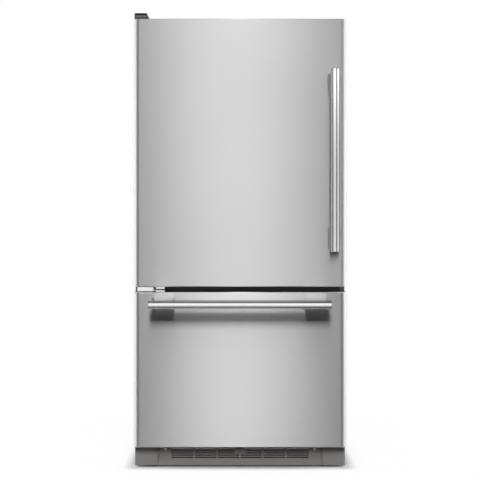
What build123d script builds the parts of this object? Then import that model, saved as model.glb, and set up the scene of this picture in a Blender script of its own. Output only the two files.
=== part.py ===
from build123d import *
import os

# Refrigerator with one hinged upper door and one pull-out freezer drawer below it.
# Millimetres. X runs to the viewer's right, Y to the back, Z up. The origin is on the floor, in the
# middle of the overall width and depth. The hinge side is the viewer's left.

os.makedirs("parts", exist_ok=True)

# ---- Overall sizes ---------------------------------------------------------------------------
door_width = 829.0
cabinet_inset = 1.5  # from the doors' sides to the cabinet's
cabinet_depth = 705.0
cabinet_bottom = 36.0
door_thickness = 66.0
gasket_gap = 11.0  # from the doors' backs to the cabinet's face
handle_reach = 62.0  # from the doors' faces to the handles' fronts
drawer_front_bottom = 88.5
drawer_front_height = 601.0
door_gap = 21.5  # between the drawer front and the upper door
upper_door_height = 1038.0
door_overtop = 4.0  # the upper door stands this much above the cabinet

# ---- Sheets, walls and insulation ------------------------------------------------------------
case_sheet = 0.8
case_corner = 6.0
case_flange = 18.0
liner_wall = 1.6
liner_corner = 12.0
side_insulation = 48.0
top_insulation = 53.0
back_insulation = 56.0
freezer_side_insulation = 58.0
freezer_back_insulation = 62.0
floor_insulation = 62.0
step_insulation = 56.0
mullion_height = 68.0
center_rail_height = 40.0
back_sheet = 0.8
bead_height = 2.0
bead_width = 26.0
bead_corner = 8.0
bead_count = 6
bead_margin = 60.0

# ---- Machine compartment ---------------------------------------------------------------------
deck_underside = 60.0
deck_sheet = 1.5
machine_depth = 252.0
machine_height = 270.0
vent_slot = (34.0, 5.0)
vent_pitch = (58.0, 16.0)
vent_columns = 11
vent_rows = 9
compressor_radius = 82.0
compressor_height = 168.0
compressor_inset = 197.2  # from the case's inside to its middle
compressor_foot = (210.0, 150.0)
compressor_foot_sheet = 3.0
terminal_box_size = (26.0, 46.0, 62.0)
terminal_box_lift = 15.5
terminal_box_sunk = 6.0
grommet_radius = 13.0
grommet_height = 16.0
grommet_inset = 17.0
condenser_tube = 2.6
condenser_width = 230.0
condenser_runs = 9
condenser_pitch = 18.0
condenser_layers = 4
condenser_layer_pitch = 28.0
condenser_inset = 174.2
drain_pan_size = (262.0, 190.0, 26.0)
pan_wall = 2.0
pan_corner = 8.0
drier_radius = 9.0
drier_length = 90.0
condenser_fan_radius = 62.0
condenser_fan_gap = 53.0  # from the condenser's side to the fan's middle
gland_radius = 14.0
gland_neck_radius = 12.0
gland_bore = 4.2
gland_depth = 16.0
gland_inset = 82.2
gland_lift = 58.5  # above the deck

# ---- Doors -----------------------------------------------------------------------------------
door_sheet = 0.8
door_edge_radius = 23.0
door_face_radius = 3.0
door_return = 14.0  # depth of the skin's folded top and bottom edges
cap_thickness = 8.0
gasket_width = 18.0
gasket_corner = 8.0
gasket_top_inset = 25.0
gasket_gap_inset = 4.0
gasket_bottom_inset = 11.5
gasket_groove = 4.0
dyke_side_gap = 17.6  # from the fridge liner's sides to the ridge
dyke_width = 20.0
dyke_depth = 80.0
dyke_corner = 14.0
dyke_top_margin = 109.0  # from the door's top to the dyke's top
dyke_bottom_margin = 33.0
pan_depth = 20.0  # how far the drawer's inner panel stands into the freezer
pan_margin = 8.0
pan_side_gap = 7.6

# ---- Hinges ----------------------------------------------------------------------------------
hinge_inset = 22.5  # hinge line to the door's side
hinge_setback = 30.0  # hinge line to the door's face
hinge_plate = 3.0
pin_radius = 4.5
pin_fit = 0.05
pin_length = 20.0
pin_shoulder_radius = 7.0
bushing_radius = 9.0
bushing_length = 24.0
top_hinge_rise = 2.0  # the top hinge's arm above the door
top_hinge_left = 13.0
top_hinge_right = 30.0
top_hinge_base = 88.0
hinge_step_back = 12.0
hinge_cover_left = 17.5
hinge_cover_foot = 43.0
hinge_cover_crown = 30.0
hinge_cover_height = 28.0
hinge_cover_front = 18.0
hinge_cover_depth = 184.0
hinge_cover_wall = 2.5
hinge_cover_corner = 2.0
center_plate_lift = 4.5  # centre hinge plate above the drawer front
center_plate_right = 100.0
center_cover_left = 6.5
center_cover_right = 57.0
center_cover_height = 12.7
center_cover_front = 24.0
center_cover_depth = 58.0
center_cover_wall = 1.5
center_cover_skirt = 3.5
center_cover_corner = 3.0
center_tab_width = 33.0
center_tab_height = 6.5
stop_drop = 9.0
stop_sheet = 2.0
stop_depth = 42.0
plug_radius = 6.0
plug_height = 2.2

# ---- Handles ---------------------------------------------------------------------------------
bar_length = 700.0
bar_width = 35.0
bar_depth = 25.0
bar_face_radius = 17.0
bar_back_radius = 4.0
bar_end_radius = 2.0
standoff_length = 82.0
standoff_end_gap = 12.0
standoff_neck = 30.0
standoff_foot = 50.0
standoff_foot_growth = 8.0
upper_handle_inset = 50.5  # handle's centre line to the door's side
upper_handle_lift = 135.5  # handle's lower end above the door's bottom
drawer_handle_drop = 45.0  # handle's centre line below the drawer front's top

# ---- Base ------------------------------------------------------------------------------------
grille_tuck = 5.0  # of its ends' places behind the corner covers' edges
grille_side_gap = 0.5  # from the ends of those places
grille_bottom = 6.0
grille_gap = 4.5  # below the drawer front
grille_sheet = 2.5
grille_setback = 62.0  # behind the doors' faces
grille_lip_top = 31.0
grille_lip_reach = 8.0
louvre_margin = 50.5  # from the grille's ends
louvre_pitch = 8.8
louvre_slot = 4.4
louvre_count = 5
louvre_bottom = 33.8
louvre_rib = 5.0
louvre_ribs = 7
clip_width = 43.0
clip_height = 12.0
clip_z = 59.0
clip_depth = 1.5
grille_screw_inset = 28.0
grille_screw_z = 69.0
corner_cover_width = 96.0
corner_cover_bottom = 8.0
corner_cover_reach = 4.0  # ahead of the grille
corner_cover_wall = 2.5
corner_cover_radius = 14.0
foot_inset = 66.0
foot_setback = 21.0  # behind the cabinet's face
foot_radius = 14.5
foot_pad = 8.0
foot_edge = 2.0
foot_hexagon_radius = 10.5
foot_hexagon_sides = 6
foot_stem_radius = 5.0
foot_stem_reach = 9.0  # into its nut
leg_nut_radius = 10.0
leg_nut_height = 22.0
wheel_inset = 61.0
rear_wheel_radius = 25.0
front_wheel_radius = 22.0
front_wheel_lift = 3.0
wheel_width = 20.0
wheel_side_gap = 0.6
wheel_groove = 1.5
axle_radius = 4.0
bracket_sheet = 2.0
bracket_length = 46.0
front_wheel_y = 100.0  # behind the cabinet's face
rear_wheel_inset = 52.0

# ---- Fresh food compartment ------------------------------------------------------------------
shelf_front_setback = 133.0  # behind the cabinet's face
shelf_side_gap = 12.6
shelf_back_gap = 81.6
shelf_rim = 16.0
shelf_rim_height = 14.0
shelf_front_height = 24.0
glass_thickness = 4.0
shelf_lifts = (205.0, 375.0, 525.0)  # above the crisper shelf
ladder_inset = 24.6
ladder_width = 18.0
ladder_depth = 12.0
ladder_lift = 45.0  # above the crisper shelf
ladder_top_gap = 59.6
ladder_slot = (5.0, 12.0)
ladder_slot_pitch = 30.0
arm_sheet = 2.5
arm_tip_height = 9.0
arm_root_height = 52.0
arm_front_gap = 60.0
crisper_shelf_lift = 180.75
ledge_width = 10.0
ledge_height = 8.0
crisper_gap = 4.0
crisper_wall = 2.5
crisper_back_gap = 41.6
crisper_top_gap = 5.0
crisper_floor_gap = 0.3
crisper_pull_height = 26.0
crisper_pull_reach = 14.0
housing_half_width = 230.0
housing_depth = 150.0
housing_height = 42.0
housing_setback = 84.0
housing_wall = 2.5
knob_radius = 14.0
knob_depth = 15.0
knob_x = 105.0
knob_gap = 0.3
knob_ridge = 5.0
knob_ridge_inset = 1.2
knob_shaft_radius = 3.0
knob_shaft_length = 12.0
lens_half_width = 95.0
lens_depth = 120.0
lens_height = 22.0
lens_wall = 2.0
duct_half_width = 70.0
duct_depth = 20.0
duct_lift = 45.0  # above the crisper shelf
duct_top_gap = 49.6
duct_wall = 2.0
duct_slot = (44.0, 8.0)
duct_slot_pitch = 90.0

# ---- Door storage ----------------------------------------------------------------------------
bin_floor_lifts = (2.0, 232.0, 472.0)  # above the rounded corners of the inner panel's ridge
bin_wall_heights = (120.0, 95.0, 95.0)
bin_depth = 90.0
bin_wall = 2.5
dairy_drop = 50.0  # from the top of the door's ridge
dairy_height = 128.0
dairy_half_width = 160.0
dairy_depth = 78.0
dairy_sill = 34.0
flap_thickness = 3.0
flap_gap = 0.4
flap_side_gap = 0.6
flap_pin_radius = 2.5
flap_pin_length = 3.0
flap_pin_drop = 7.0
flap_ear = 10.0

# ---- Freezer interior ------------------------------------------------------------------------
rail_lift = 14.0  # above the step over the machine compartment
rail_height = 46.0
rail_sheet = 1.5
rail_gap = 0.4
rail_depth = 12.0
rail_back_gap = 80.6  # from the evaporator's cover
rail_front_gap = 15.0
bracket_foot = 36.0
basket_wall = 3.0
basket_floor_gap = 6.0
basket_front_gap = 4.0
basket_step_gap = 10.0
basket_side_gap = 3.0
basket_corner = 18.0
basket_slot = (5.0, 90.0)
basket_slot_pitch = (22.0, 135.0)
basket_slot_corner = 2.4
tray_depth = 190.0
tray_height = 62.0
tray_wall = 2.5
tray_gap = 0.3
tray_side_gap = 5.0
evaporator_cover_sheet = 3.0
evaporator_cover_gap = 60.0  # from the freezer's back wall
cover_slot = (50.0, 6.0)
cover_slot_pitch = (70.0, 18.0)
cover_slot_columns = 8
cover_slot_rows = 2
guard_rings = 3
guard_inner_radius = 16.0
guard_wire = 2.0
guard_bar = 4.0
coil_tube = 4.0
coil_side_gap = 82.6
coil_runs = 4
coil_top_gap = 10.4  # below the fan's blades
coil_lift = 32.0
fin_count = 19
fin_sheet = 1.0
fin_depth = 44.0
bend_allowance = 0.3  # keeps a bend just short of half the pitch
heater_radius = 3.0
evaporator_fan_radius = 48.0
fan_drop = 66.25  # from the freezer's ceiling to the fan's middle

# ---- Fans ------------------------------------------------------------------------------------
fan_hub_radius = 15.0
fan_hub_depth = 18.0
fan_blades = 5
fan_blade_sheet = 1.6
fan_blade_pitch = 28.0
fan_blade_chord = 22.0
motor_radius = 26.0
motor_depth = 22.0
motor_shaft_radius = 2.5
fan_gap = 2.0
motor_arm = 8.0
motor_foot = (24.0, 48.0)

# ---- Fasteners -------------------------------------------------------------------------------
screw_head_radius = 5.0
screw_head_height = 1.9
screw_radius = 2.2
screw_length = 9.0
socket_radius = 2.0
socket_depth = 1.2
top_hinge_screws = ((-5.0, 30.0), (8.0, 62.0), (21.0, 30.0))  # from the hinge line and its base's front
center_hinge_screws = (10.0, 32.0, 54.0)  # from the hinge line
cover_screw_inset = 14.0

# ---- Places worked out from the sizes above --------------------------------------------------
handle_front_y = -(cabinet_depth + gasket_gap + door_thickness + handle_reach) / 2
door_front_y = handle_front_y + handle_reach
door_back_y = door_front_y + door_thickness
cabinet_front_y = door_back_y + gasket_gap
cabinet_back_y = cabinet_front_y + cabinet_depth
door_half = door_width / 2
cabinet_half = door_half - cabinet_inset
case_inside = cabinet_half - case_sheet

drawer_front_top = drawer_front_bottom + drawer_front_height
upper_door_bottom = drawer_front_top + door_gap
upper_door_top = upper_door_bottom + upper_door_height
cabinet_top = upper_door_top - door_overtop
deck_top = deck_underside + deck_sheet
machine_front_y = cabinet_back_y - machine_depth
machine_top = deck_top + machine_height

face_inside_y = cabinet_front_y + liner_wall
panel_back_y = cabinet_back_y - bead_height
panel_front_y = panel_back_y - back_sheet
mullion_middle = drawer_front_top + door_gap / 2
fridge_floor = mullion_middle + mullion_height / 2
freezer_ceiling = mullion_middle - mullion_height / 2
fridge_half = case_inside - side_insulation - liner_wall
fridge_ceiling = cabinet_top - case_sheet - top_insulation - liner_wall
fridge_back_y = panel_front_y - back_insulation - liner_wall
freezer_half = case_inside - freezer_side_insulation - liner_wall
freezer_back_y = panel_front_y - freezer_back_insulation - liner_wall
freezer_floor = deck_top + floor_insulation + liner_wall
freezer_step_y = machine_front_y - deck_sheet - step_insulation - liner_wall
freezer_step_top = machine_top + deck_sheet + step_insulation + liner_wall
rail_face_top = mullion_middle + center_rail_height / 2
rail_face_bottom = mullion_middle - center_rail_height / 2
face_half = cabinet_half - case_flange

dyke_half_width = fridge_half - dyke_side_gap
pan_half_width = freezer_half - pan_side_gap
hinge_x = hinge_inset - door_half
hinge_y = door_front_y + hinge_setback
gasket_half = door_half - hinge_inset
skin_inside = door_half - door_sheet
door_liner_y = door_back_y - liner_wall

foot_x = cabinet_half - foot_inset
foot_y = cabinet_front_y + foot_setback
leg_nut_bottom = deck_underside - leg_nut_height
foot_stem_top = leg_nut_bottom + foot_stem_reach
wheel_x = cabinet_half - wheel_inset
grille_front_y = door_front_y + grille_setback
corner_front_y = grille_front_y - grille_lip_reach - corner_cover_reach
corner_inner = cabinet_half - corner_cover_width
grille_half_width = corner_inner + grille_tuck - grille_side_gap
grille_top = drawer_front_bottom - grille_gap
louvre_half_width = grille_half_width - louvre_margin
grille_screw_x = grille_half_width - grille_screw_inset
shelf_front_y = cabinet_front_y + shelf_front_setback
shelf_back_y = fridge_back_y - shelf_back_gap
shelf_half_width = fridge_half - shelf_side_gap
crisper_shelf_top = fridge_floor + crisper_shelf_lift
shelf_tops = [crisper_shelf_top + lift for lift in shelf_lifts]
ladder_x = fridge_half - ladder_inset
ladder_bottom = crisper_shelf_top + ladder_lift
ladder_top = fridge_ceiling - ladder_top_gap
duct_bottom = crisper_shelf_top + duct_lift
duct_top = fridge_ceiling - duct_top_gap
ladder_front_y = fridge_back_y - ladder_depth
rail_bottom = freezer_step_top + rail_lift
rail_top = rail_bottom + rail_height
rail_front_y = cabinet_front_y + rail_front_gap
cover_back_y = freezer_back_y - evaporator_cover_gap
fan_z = freezer_ceiling - fan_drop
compressor_x = case_inside - compressor_inset
condenser_x = condenser_inset - case_inside
condenser_fan_x = condenser_x + condenser_width / 2 + condenser_fan_gap
gland_x = case_inside - gland_inset
gland_z = deck_top + gland_lift
bar_back_y = handle_front_y + bar_depth

arm_z = upper_door_top + top_hinge_rise
hinge_step_y = cabinet_front_y + hinge_step_back
top_hinge_x = (hinge_x - top_hinge_left, hinge_x + top_hinge_right)
top_hinge_y = (hinge_step_y, hinge_step_y + top_hinge_base)
center_plate_z = drawer_front_top + center_plate_lift
center_plate_top = center_plate_z + hinge_plate
center_flange_top = upper_door_bottom - hinge_plate / 2
center_cover_y = (hinge_y - center_cover_front, hinge_y - center_cover_front + center_cover_depth)
center_plate_y = center_cover_y[0] + center_cover_wall + hinge_plate
center_plate_x = (hinge_x - center_cover_left, hinge_x + center_plate_right)

# Screws: where each head sits, and the way its shank points.
hinge_screws = [
    ((hinge_x + x, hinge_step_y + y, cabinet_top + hinge_plate), (0, 0, -1)) for x, y in top_hinge_screws
]
rail_screws = [
    ((hinge_x + x, cabinet_front_y - hinge_plate, (center_plate_top + center_flange_top) / 2), (0, 1, 0))
    for x in center_hinge_screws
]
grille_screws = [((x, grille_front_y, grille_screw_z), (0, 1, 0)) for x in (-grille_screw_x, grille_screw_x)]
cover_screws = [
    ((x, panel_back_y, z), (0, -1, 0))
    for x in (cover_screw_inset - case_inside, 0, case_inside - cover_screw_inset)
    for z in (deck_top + cover_screw_inset, machine_top - cover_screw_inset)
]


# ---- Small helpers for shapes that repeat ----------------------------------------------------
def block(x, y, z, mode=Mode.ADD):
    """A box between a low and a high bound on each axis."""
    with Locations(((x[0] + x[1]) / 2, (y[0] + y[1]) / 2, (z[0] + z[1]) / 2)):
        Box(x[1] - x[0], y[1] - y[0], z[1] - z[0], mode=mode)


def both_sides(x, y, z, mode=Mode.ADD):
    """A box on the right and its mirror image on the left."""
    block(x, y, z, mode)
    block((-x[1], -x[0]), y, z, mode)


def slab(half_width, y, z, corner=0.0, mode=Mode.ADD):
    """A block centred on X = 0 whose four corners, seen from the front, may be rounded."""
    with BuildSketch(Plane.XZ.offset(-y[1])) as section:
        with Locations((0, (z[0] + z[1]) / 2)):
            if corner > 0:
                RectangleRounded(2 * half_width, z[1] - z[0], corner)
            else:
                Rectangle(2 * half_width, z[1] - z[0])
    extrude(section.sketch, amount=y[1] - y[0], mode=mode)


def arch(half_width, y, z, corner, mode=Mode.ADD):
    """A block centred on X = 0 whose two top corners, seen from the front, are rounded."""
    with BuildSketch(Plane.XZ.offset(-y[1])) as section:
        with Locations((0, (z[0] + z[1]) / 2)):
            Rectangle(2 * half_width, z[1] - z[0])
        fillet(section.vertices().group_by(Axis.Y)[-1], corner)
    extrude(section.sketch, amount=y[1] - y[0], mode=mode)


def rod(start, direction, radius, length, mode=Mode.ADD):
    """A round bar from a start point along a direction."""
    with BuildSketch(Plane(origin=start, z_dir=direction)) as section:
        Circle(radius)
    extrude(section.sketch, amount=length, mode=mode)


def save(builder, name):
    """Label a finished piece and write its file."""
    builder.part.label = name
    export_step(builder.part, f"parts/{name}.step")


def bores(screws):
    """Holes for the shanks of some screws."""
    for seat, way in screws:
        rod(seat, way, screw_radius, screw_length, Mode.SUBTRACT)


def spread(low, high, count):
    """Evenly spaced places from low to high, both included."""
    return [low + (high - low) * i / (count - 1) for i in range(count)]


# ---- Cabinet shell ---------------------------------------------------------------------------
with BuildPart() as cabinet_wrapper:
    arch(cabinet_half, (cabinet_front_y, cabinet_back_y), (cabinet_bottom, cabinet_top), case_corner)
    arch(
        case_inside,
        (cabinet_front_y + case_sheet, cabinet_back_y),
        (cabinet_bottom, cabinet_top - case_sheet),
        case_corner - case_sheet,
        Mode.SUBTRACT,
    )
    slab(
        face_half,
        (cabinet_front_y, cabinet_front_y + case_sheet),
        (cabinet_bottom, cabinet_top - case_flange),
        mode=Mode.SUBTRACT,
    )
    bores(hinge_screws)
save(cabinet_wrapper, "cabinet_wrapper")

with BuildPart() as back_panel:
    arch(
        case_inside,
        (panel_front_y, panel_back_y),
        (machine_top + deck_sheet, cabinet_top - case_sheet),
        case_corner - case_sheet,
    )
    for z in spread(machine_top + bead_margin, cabinet_top - bead_margin, bead_count):
        slab(
            case_inside - bead_margin,
            (panel_back_y, cabinet_back_y),
            (z - bead_width / 2, z + bead_width / 2),
            bead_corner,
        )
save(back_panel, "back_panel")

with BuildPart() as base_deck:
    block((-case_inside, case_inside), (face_inside_y, cabinet_back_y), (deck_underside, deck_top))
    block(
        (-case_inside, case_inside),
        (machine_front_y - deck_sheet, machine_front_y),
        (deck_top, machine_top + deck_sheet),
    )
    block(
        (-case_inside, case_inside),
        (machine_front_y, cabinet_back_y),
        (machine_top, machine_top + deck_sheet),
    )
    both_sides(
        (case_inside - deck_sheet, case_inside),
        (face_inside_y, cabinet_back_y),
        (cabinet_bottom, deck_underside),
    )
    for x in (-foot_x, foot_x):
        nut_foot = (x, foot_y, leg_nut_bottom)
        nut_height = deck_underside - leg_nut_bottom
        rod(nut_foot, (0, 0, 1), leg_nut_radius, nut_height)
        rod(nut_foot, (0, 0, 1), foot_stem_radius + pin_fit, nut_height, Mode.SUBTRACT)
save(base_deck, "base_deck")

with BuildPart() as machine_cover:
    slab(case_inside, (panel_front_y, panel_back_y), (deck_top, machine_top))
    with BuildSketch(Plane.XZ.offset(-panel_back_y)):
        with Locations((0, (deck_top + machine_top) / 2)):
            with GridLocations(vent_pitch[0], vent_pitch[1], vent_columns, vent_rows):
                SlotOverall(vent_slot[0], vent_slot[1])
    extrude(amount=back_sheet, mode=Mode.SUBTRACT)
    rod((gland_x, panel_front_y, gland_z), (0, 1, 0), gland_neck_radius, back_sheet, Mode.SUBTRACT)
    bores(cover_screws)
save(machine_cover, "machine_cover")

with BuildPart() as fridge_liner:
    slab(
        fridge_half + liner_wall,
        (cabinet_front_y, fridge_back_y + liner_wall),
        (fridge_floor - liner_wall, fridge_ceiling + liner_wall),
        liner_corner + liner_wall,
    )
    slab(face_half, (cabinet_front_y, face_inside_y), (rail_face_top, cabinet_top - case_flange))
    fridge_z = (fridge_floor, fridge_ceiling)
    slab(fridge_half, (cabinet_front_y, fridge_back_y), fridge_z, liner_corner, Mode.SUBTRACT)
    both_sides(
        (fridge_half - ledge_width, fridge_half + liner_wall / 2),
        (shelf_front_y + shelf_rim, fridge_back_y),
        (crisper_shelf_top - shelf_rim_height - ledge_height, crisper_shelf_top - shelf_rim_height),
    )
save(fridge_liner, "fridge_liner")

with BuildPart() as freezer_liner:
    slab(
        freezer_half + liner_wall,
        (cabinet_front_y, freezer_step_y + liner_wall),
        (freezer_floor - liner_wall, freezer_ceiling + liner_wall),
        liner_corner + liner_wall,
    )
    slab(
        freezer_half + liner_wall,
        (cabinet_front_y, freezer_back_y + liner_wall),
        (freezer_step_top - liner_wall, freezer_ceiling + liner_wall),
        liner_corner + liner_wall,
    )
    slab(face_half, (cabinet_front_y, face_inside_y), (deck_top, rail_face_bottom))
    for back_y, floor_z in ((freezer_step_y, freezer_floor), (freezer_back_y, freezer_step_top)):
        slab(
            freezer_half,
            (cabinet_front_y, back_y),
            (floor_z, freezer_ceiling),
            liner_corner,
            Mode.SUBTRACT,
        )
save(freezer_liner, "freezer_liner")

with BuildPart() as cabinet_foam:
    arch(
        case_inside,
        (face_inside_y, panel_front_y),
        (deck_top, cabinet_top - case_sheet),
        case_corner - case_sheet,
    )
    block(
        (-case_inside, case_inside),
        (machine_front_y - deck_sheet, panel_front_y),
        (deck_top, machine_top + deck_sheet),
        Mode.SUBTRACT,
    )
    slab(
        fridge_half + liner_wall,
        (face_inside_y, fridge_back_y + liner_wall),
        (fridge_floor - liner_wall, fridge_ceiling + liner_wall),
        liner_corner + liner_wall,
        Mode.SUBTRACT,
    )
    slab(
        freezer_half + liner_wall,
        (face_inside_y, freezer_step_y + liner_wall),
        (freezer_floor - liner_wall, freezer_ceiling + liner_wall),
        liner_corner + liner_wall,
        Mode.SUBTRACT,
    )
    slab(
        freezer_half + liner_wall,
        (face_inside_y, freezer_back_y + liner_wall),
        (freezer_step_top - liner_wall, freezer_ceiling + liner_wall),
        liner_corner + liner_wall,
        Mode.SUBTRACT,
    )
    bores(hinge_screws + rail_screws)
save(cabinet_foam, "cabinet_foam")

with BuildPart() as center_rail:
    slab(face_half, (cabinet_front_y, face_inside_y), (rail_face_bottom, rail_face_top))
    bores(rail_screws)
save(center_rail, "center_rail")


# ---- Base: grille, corner covers, feet, rollers ----------------------------------------------
louvre_rows = [louvre_bottom + louvre_pitch * i for i in range(louvre_count)]

with BuildPart() as base_grille:
    slab(
        grille_half_width,
        (grille_front_y, grille_front_y + grille_sheet),
        (grille_lip_top, grille_top),
    )
    with BuildSketch(Plane.YZ.offset(-grille_half_width)):
        with BuildLine():
            Polyline(
                (grille_front_y + grille_sheet, grille_lip_top + grille_sheet),
                (grille_front_y + grille_sheet, grille_lip_top),
                (grille_front_y - grille_lip_reach + 2 * grille_sheet, grille_lip_top - 2 * grille_sheet),
                (grille_front_y - grille_lip_reach + grille_sheet, grille_bottom),
                (grille_front_y - grille_lip_reach, grille_bottom),
            )
            RadiusArc(
                (grille_front_y - grille_lip_reach, grille_bottom),
                (grille_front_y, grille_lip_top + grille_sheet),
                2 * grille_lip_top,
            )
            Line(
                (grille_front_y, grille_lip_top + grille_sheet),
                (grille_front_y + grille_sheet, grille_lip_top + grille_sheet),
            )
        make_face()
    extrude(amount=2 * grille_half_width)
    for z in louvre_rows:
        slab(
            louvre_half_width,
            (grille_front_y, grille_front_y + grille_sheet),
            (z, z + louvre_slot),
            mode=Mode.SUBTRACT,
        )
    for x in spread(-louvre_half_width, louvre_half_width, louvre_ribs)[1:-1]:
        block(
            (x - louvre_rib / 2, x + louvre_rib / 2),
            (grille_front_y + grille_sheet / 2, grille_front_y + grille_sheet),
            (grille_lip_top + grille_sheet, grille_top),
        )
    slab(
        grille_half_width,
        (grille_front_y + grille_sheet, cabinet_front_y),
        (grille_top - grille_sheet, grille_top),
    )
    slab(
        clip_width / 2,
        (grille_front_y, grille_front_y + clip_depth),
        (clip_z - clip_height / 2, clip_z + clip_height / 2),
        clip_depth,
    )
    bores(grille_screws)
save(base_grille, "base_grille")


def corner_cover_block(inset, z, mode=Mode.ADD):
    """The right corner cover's form, drawn in on its front, outer and inner sides."""
    with BuildSketch(Plane.XY.offset(z[0])) as plan:
        width = corner_cover_width - 2 * inset
        depth = cabinet_front_y - corner_front_y - inset
        with Locations((corner_inner + inset + width / 2, cabinet_front_y - depth / 2)):
            Rectangle(width, depth)
        fillet(plan.vertices().group_by(Axis.Y)[0], corner_cover_radius - inset)
    extrude(plan.sketch, amount=z[1] - z[0], mode=mode)


with BuildPart() as corner_covers:
    corner_cover_block(0.0, (corner_cover_bottom, grille_top))
    corner_hollow_z = (corner_cover_bottom, grille_top - corner_cover_wall)
    corner_cover_block(corner_cover_wall, corner_hollow_z, Mode.SUBTRACT)
    block(
        (corner_inner, corner_inner + grille_tuck),
        (grille_front_y - grille_lip_reach, cabinet_front_y),
        (grille_bottom, grille_top),
        Mode.SUBTRACT,
    )
    mirror(about=Plane.YZ)
save(corner_covers, "corner_covers")


def foot(side):
    """A levelling foot: a round pad with a raised hexagon, and a stem up into its nut."""
    with BuildPart() as piece:
        rod((side * foot_x, foot_y, 0), (0, 0, 1), foot_radius, foot_pad)
        fillet(piece.edges().filter_by(GeomType.CIRCLE).group_by(Axis.Z)[-1], foot_edge)
        with BuildSketch(Plane.XY.offset(foot_pad)):
            with Locations((side * foot_x, foot_y)):
                RegularPolygon(foot_hexagon_radius, foot_hexagon_sides)
        extrude(amount=foot_pad)
        rod((side * foot_x, foot_y, foot_pad), (0, 0, 1), foot_stem_radius, foot_stem_top - foot_pad)
    return piece


save(foot(-1), "levelling_foot_left")
save(foot(1), "levelling_foot_right")

front_axle = (cabinet_front_y + front_wheel_y, front_wheel_lift + front_wheel_radius)
rear_axle = (cabinet_back_y - rear_wheel_inset, rear_wheel_radius)
cheek_inner = wheel_width / 2 + wheel_side_gap
cheek_outer = cheek_inner + bracket_sheet


def wheel_pair(axle, radius):
    """A left and a right wheel with a groove round each tread and a bore for the axle."""
    with BuildPart() as piece:
        for x in (-wheel_x, wheel_x):
            rod((x - wheel_width / 2, *axle), (1, 0, 0), radius, wheel_width)
        fillet(piece.edges().filter_by(GeomType.CIRCLE), wheel_groove)
        for x in (-wheel_x, wheel_x):
            with BuildSketch(Plane(origin=(x - wheel_groove, *axle), z_dir=(1, 0, 0))):
                Circle(radius)
                Circle(radius - wheel_groove, mode=Mode.SUBTRACT)
            extrude(amount=2 * wheel_groove, mode=Mode.SUBTRACT)
            rod((x - wheel_width / 2, *axle), (1, 0, 0), axle_radius + pin_fit, wheel_width, Mode.SUBTRACT)
    return piece


save(wheel_pair(front_axle, front_wheel_radius), "front_rollers")
save(wheel_pair(rear_axle, rear_wheel_radius), "rear_rollers")

with BuildPart() as roller_brackets:
    for y, z in (front_axle, rear_axle):
        for x in (-wheel_x, wheel_x):
            block(
                (x - cheek_outer, x + cheek_outer),
                (y - bracket_length / 2, y + bracket_length / 2),
                (z - 2 * axle_radius, deck_underside),
            )
            block(
                (x - cheek_inner, x + cheek_inner),
                (y - bracket_length / 2, y + bracket_length / 2),
                (z - 2 * axle_radius, deck_underside - bracket_sheet),
                Mode.SUBTRACT,
            )
            rod((x - cheek_outer, y, z), (1, 0, 0), axle_radius, 2 * cheek_outer)
save(roller_brackets, "roller_brackets")


# ---- Hinges ----------------------------------------------------------------------------------
with BuildPart() as door_hinges:
    block(top_hinge_x, top_hinge_y, (cabinet_top, cabinet_top + hinge_plate))
    block(top_hinge_x, (hinge_step_y, hinge_step_y + hinge_plate), (cabinet_top, arm_z + hinge_plate))
    block(
        top_hinge_x,
        (hinge_y - top_hinge_left, hinge_step_y + hinge_plate),
        (arm_z, arm_z + hinge_plate),
    )
    rod((hinge_x, hinge_y, arm_z), (0, 0, -1), pin_radius, pin_length + top_hinge_rise)
    block(center_plate_x, (center_plate_y, cabinet_front_y), (center_plate_z, center_plate_top))
    block(
        (center_plate_x[1] - center_tab_width, center_plate_x[1]),
        (center_plate_y - hinge_plate, center_plate_y),
        (center_plate_top - center_tab_height, center_plate_top),
    )
    block(
        (center_plate_x[0], center_plate_x[1] - center_tab_width),
        (cabinet_front_y - hinge_plate, cabinet_front_y),
        (center_plate_z - hinge_plate, center_flange_top),
    )
    shoulder_height = upper_door_bottom - center_plate_top
    rod((hinge_x, hinge_y, center_plate_top), (0, 0, 1), pin_shoulder_radius, shoulder_height)
    rod((hinge_x, hinge_y, upper_door_bottom), (0, 0, 1), pin_radius, pin_length)
    bores(hinge_screws + rail_screws)
save(door_hinges, "door_hinges")


def hinge_cover_block(inset, y, low, mode=Mode.ADD):
    """The top hinge cover's form with its sloping right side, drawn in by an inset."""
    top = cabinet_top + hinge_cover_height - inset
    with BuildSketch(Plane.XZ.offset(-y[1])) as section:
        with BuildLine():
            Polyline(
                (hinge_x - hinge_cover_left + inset, low),
                (hinge_x + hinge_cover_foot - inset, low),
                (hinge_x + hinge_cover_crown - inset, top),
                (hinge_x - hinge_cover_left + inset, top),
                close=True,
            )
        make_face()
        fillet(section.vertices().group_by(Axis.Y)[-1], hinge_cover_corner)
    extrude(section.sketch, amount=y[1] - y[0], mode=mode)


with BuildPart() as top_hinge_cover:
    cover_y = (hinge_y - hinge_cover_front, hinge_y - hinge_cover_front + hinge_cover_depth)
    hinge_cover_block(0.0, cover_y, cabinet_top)
    hinge_cover_block(
        hinge_cover_wall,
        (cover_y[0] + hinge_cover_wall, cover_y[1] - hinge_cover_wall),
        cabinet_top,
        Mode.SUBTRACT,
    )
    block(
        (-cabinet_half, hinge_x + hinge_cover_foot),
        (cover_y[0], cabinet_front_y),
        (cabinet_top, upper_door_top + top_hinge_rise / 2),
        Mode.SUBTRACT,
    )
save(top_hinge_cover, "top_hinge_cover")

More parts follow.
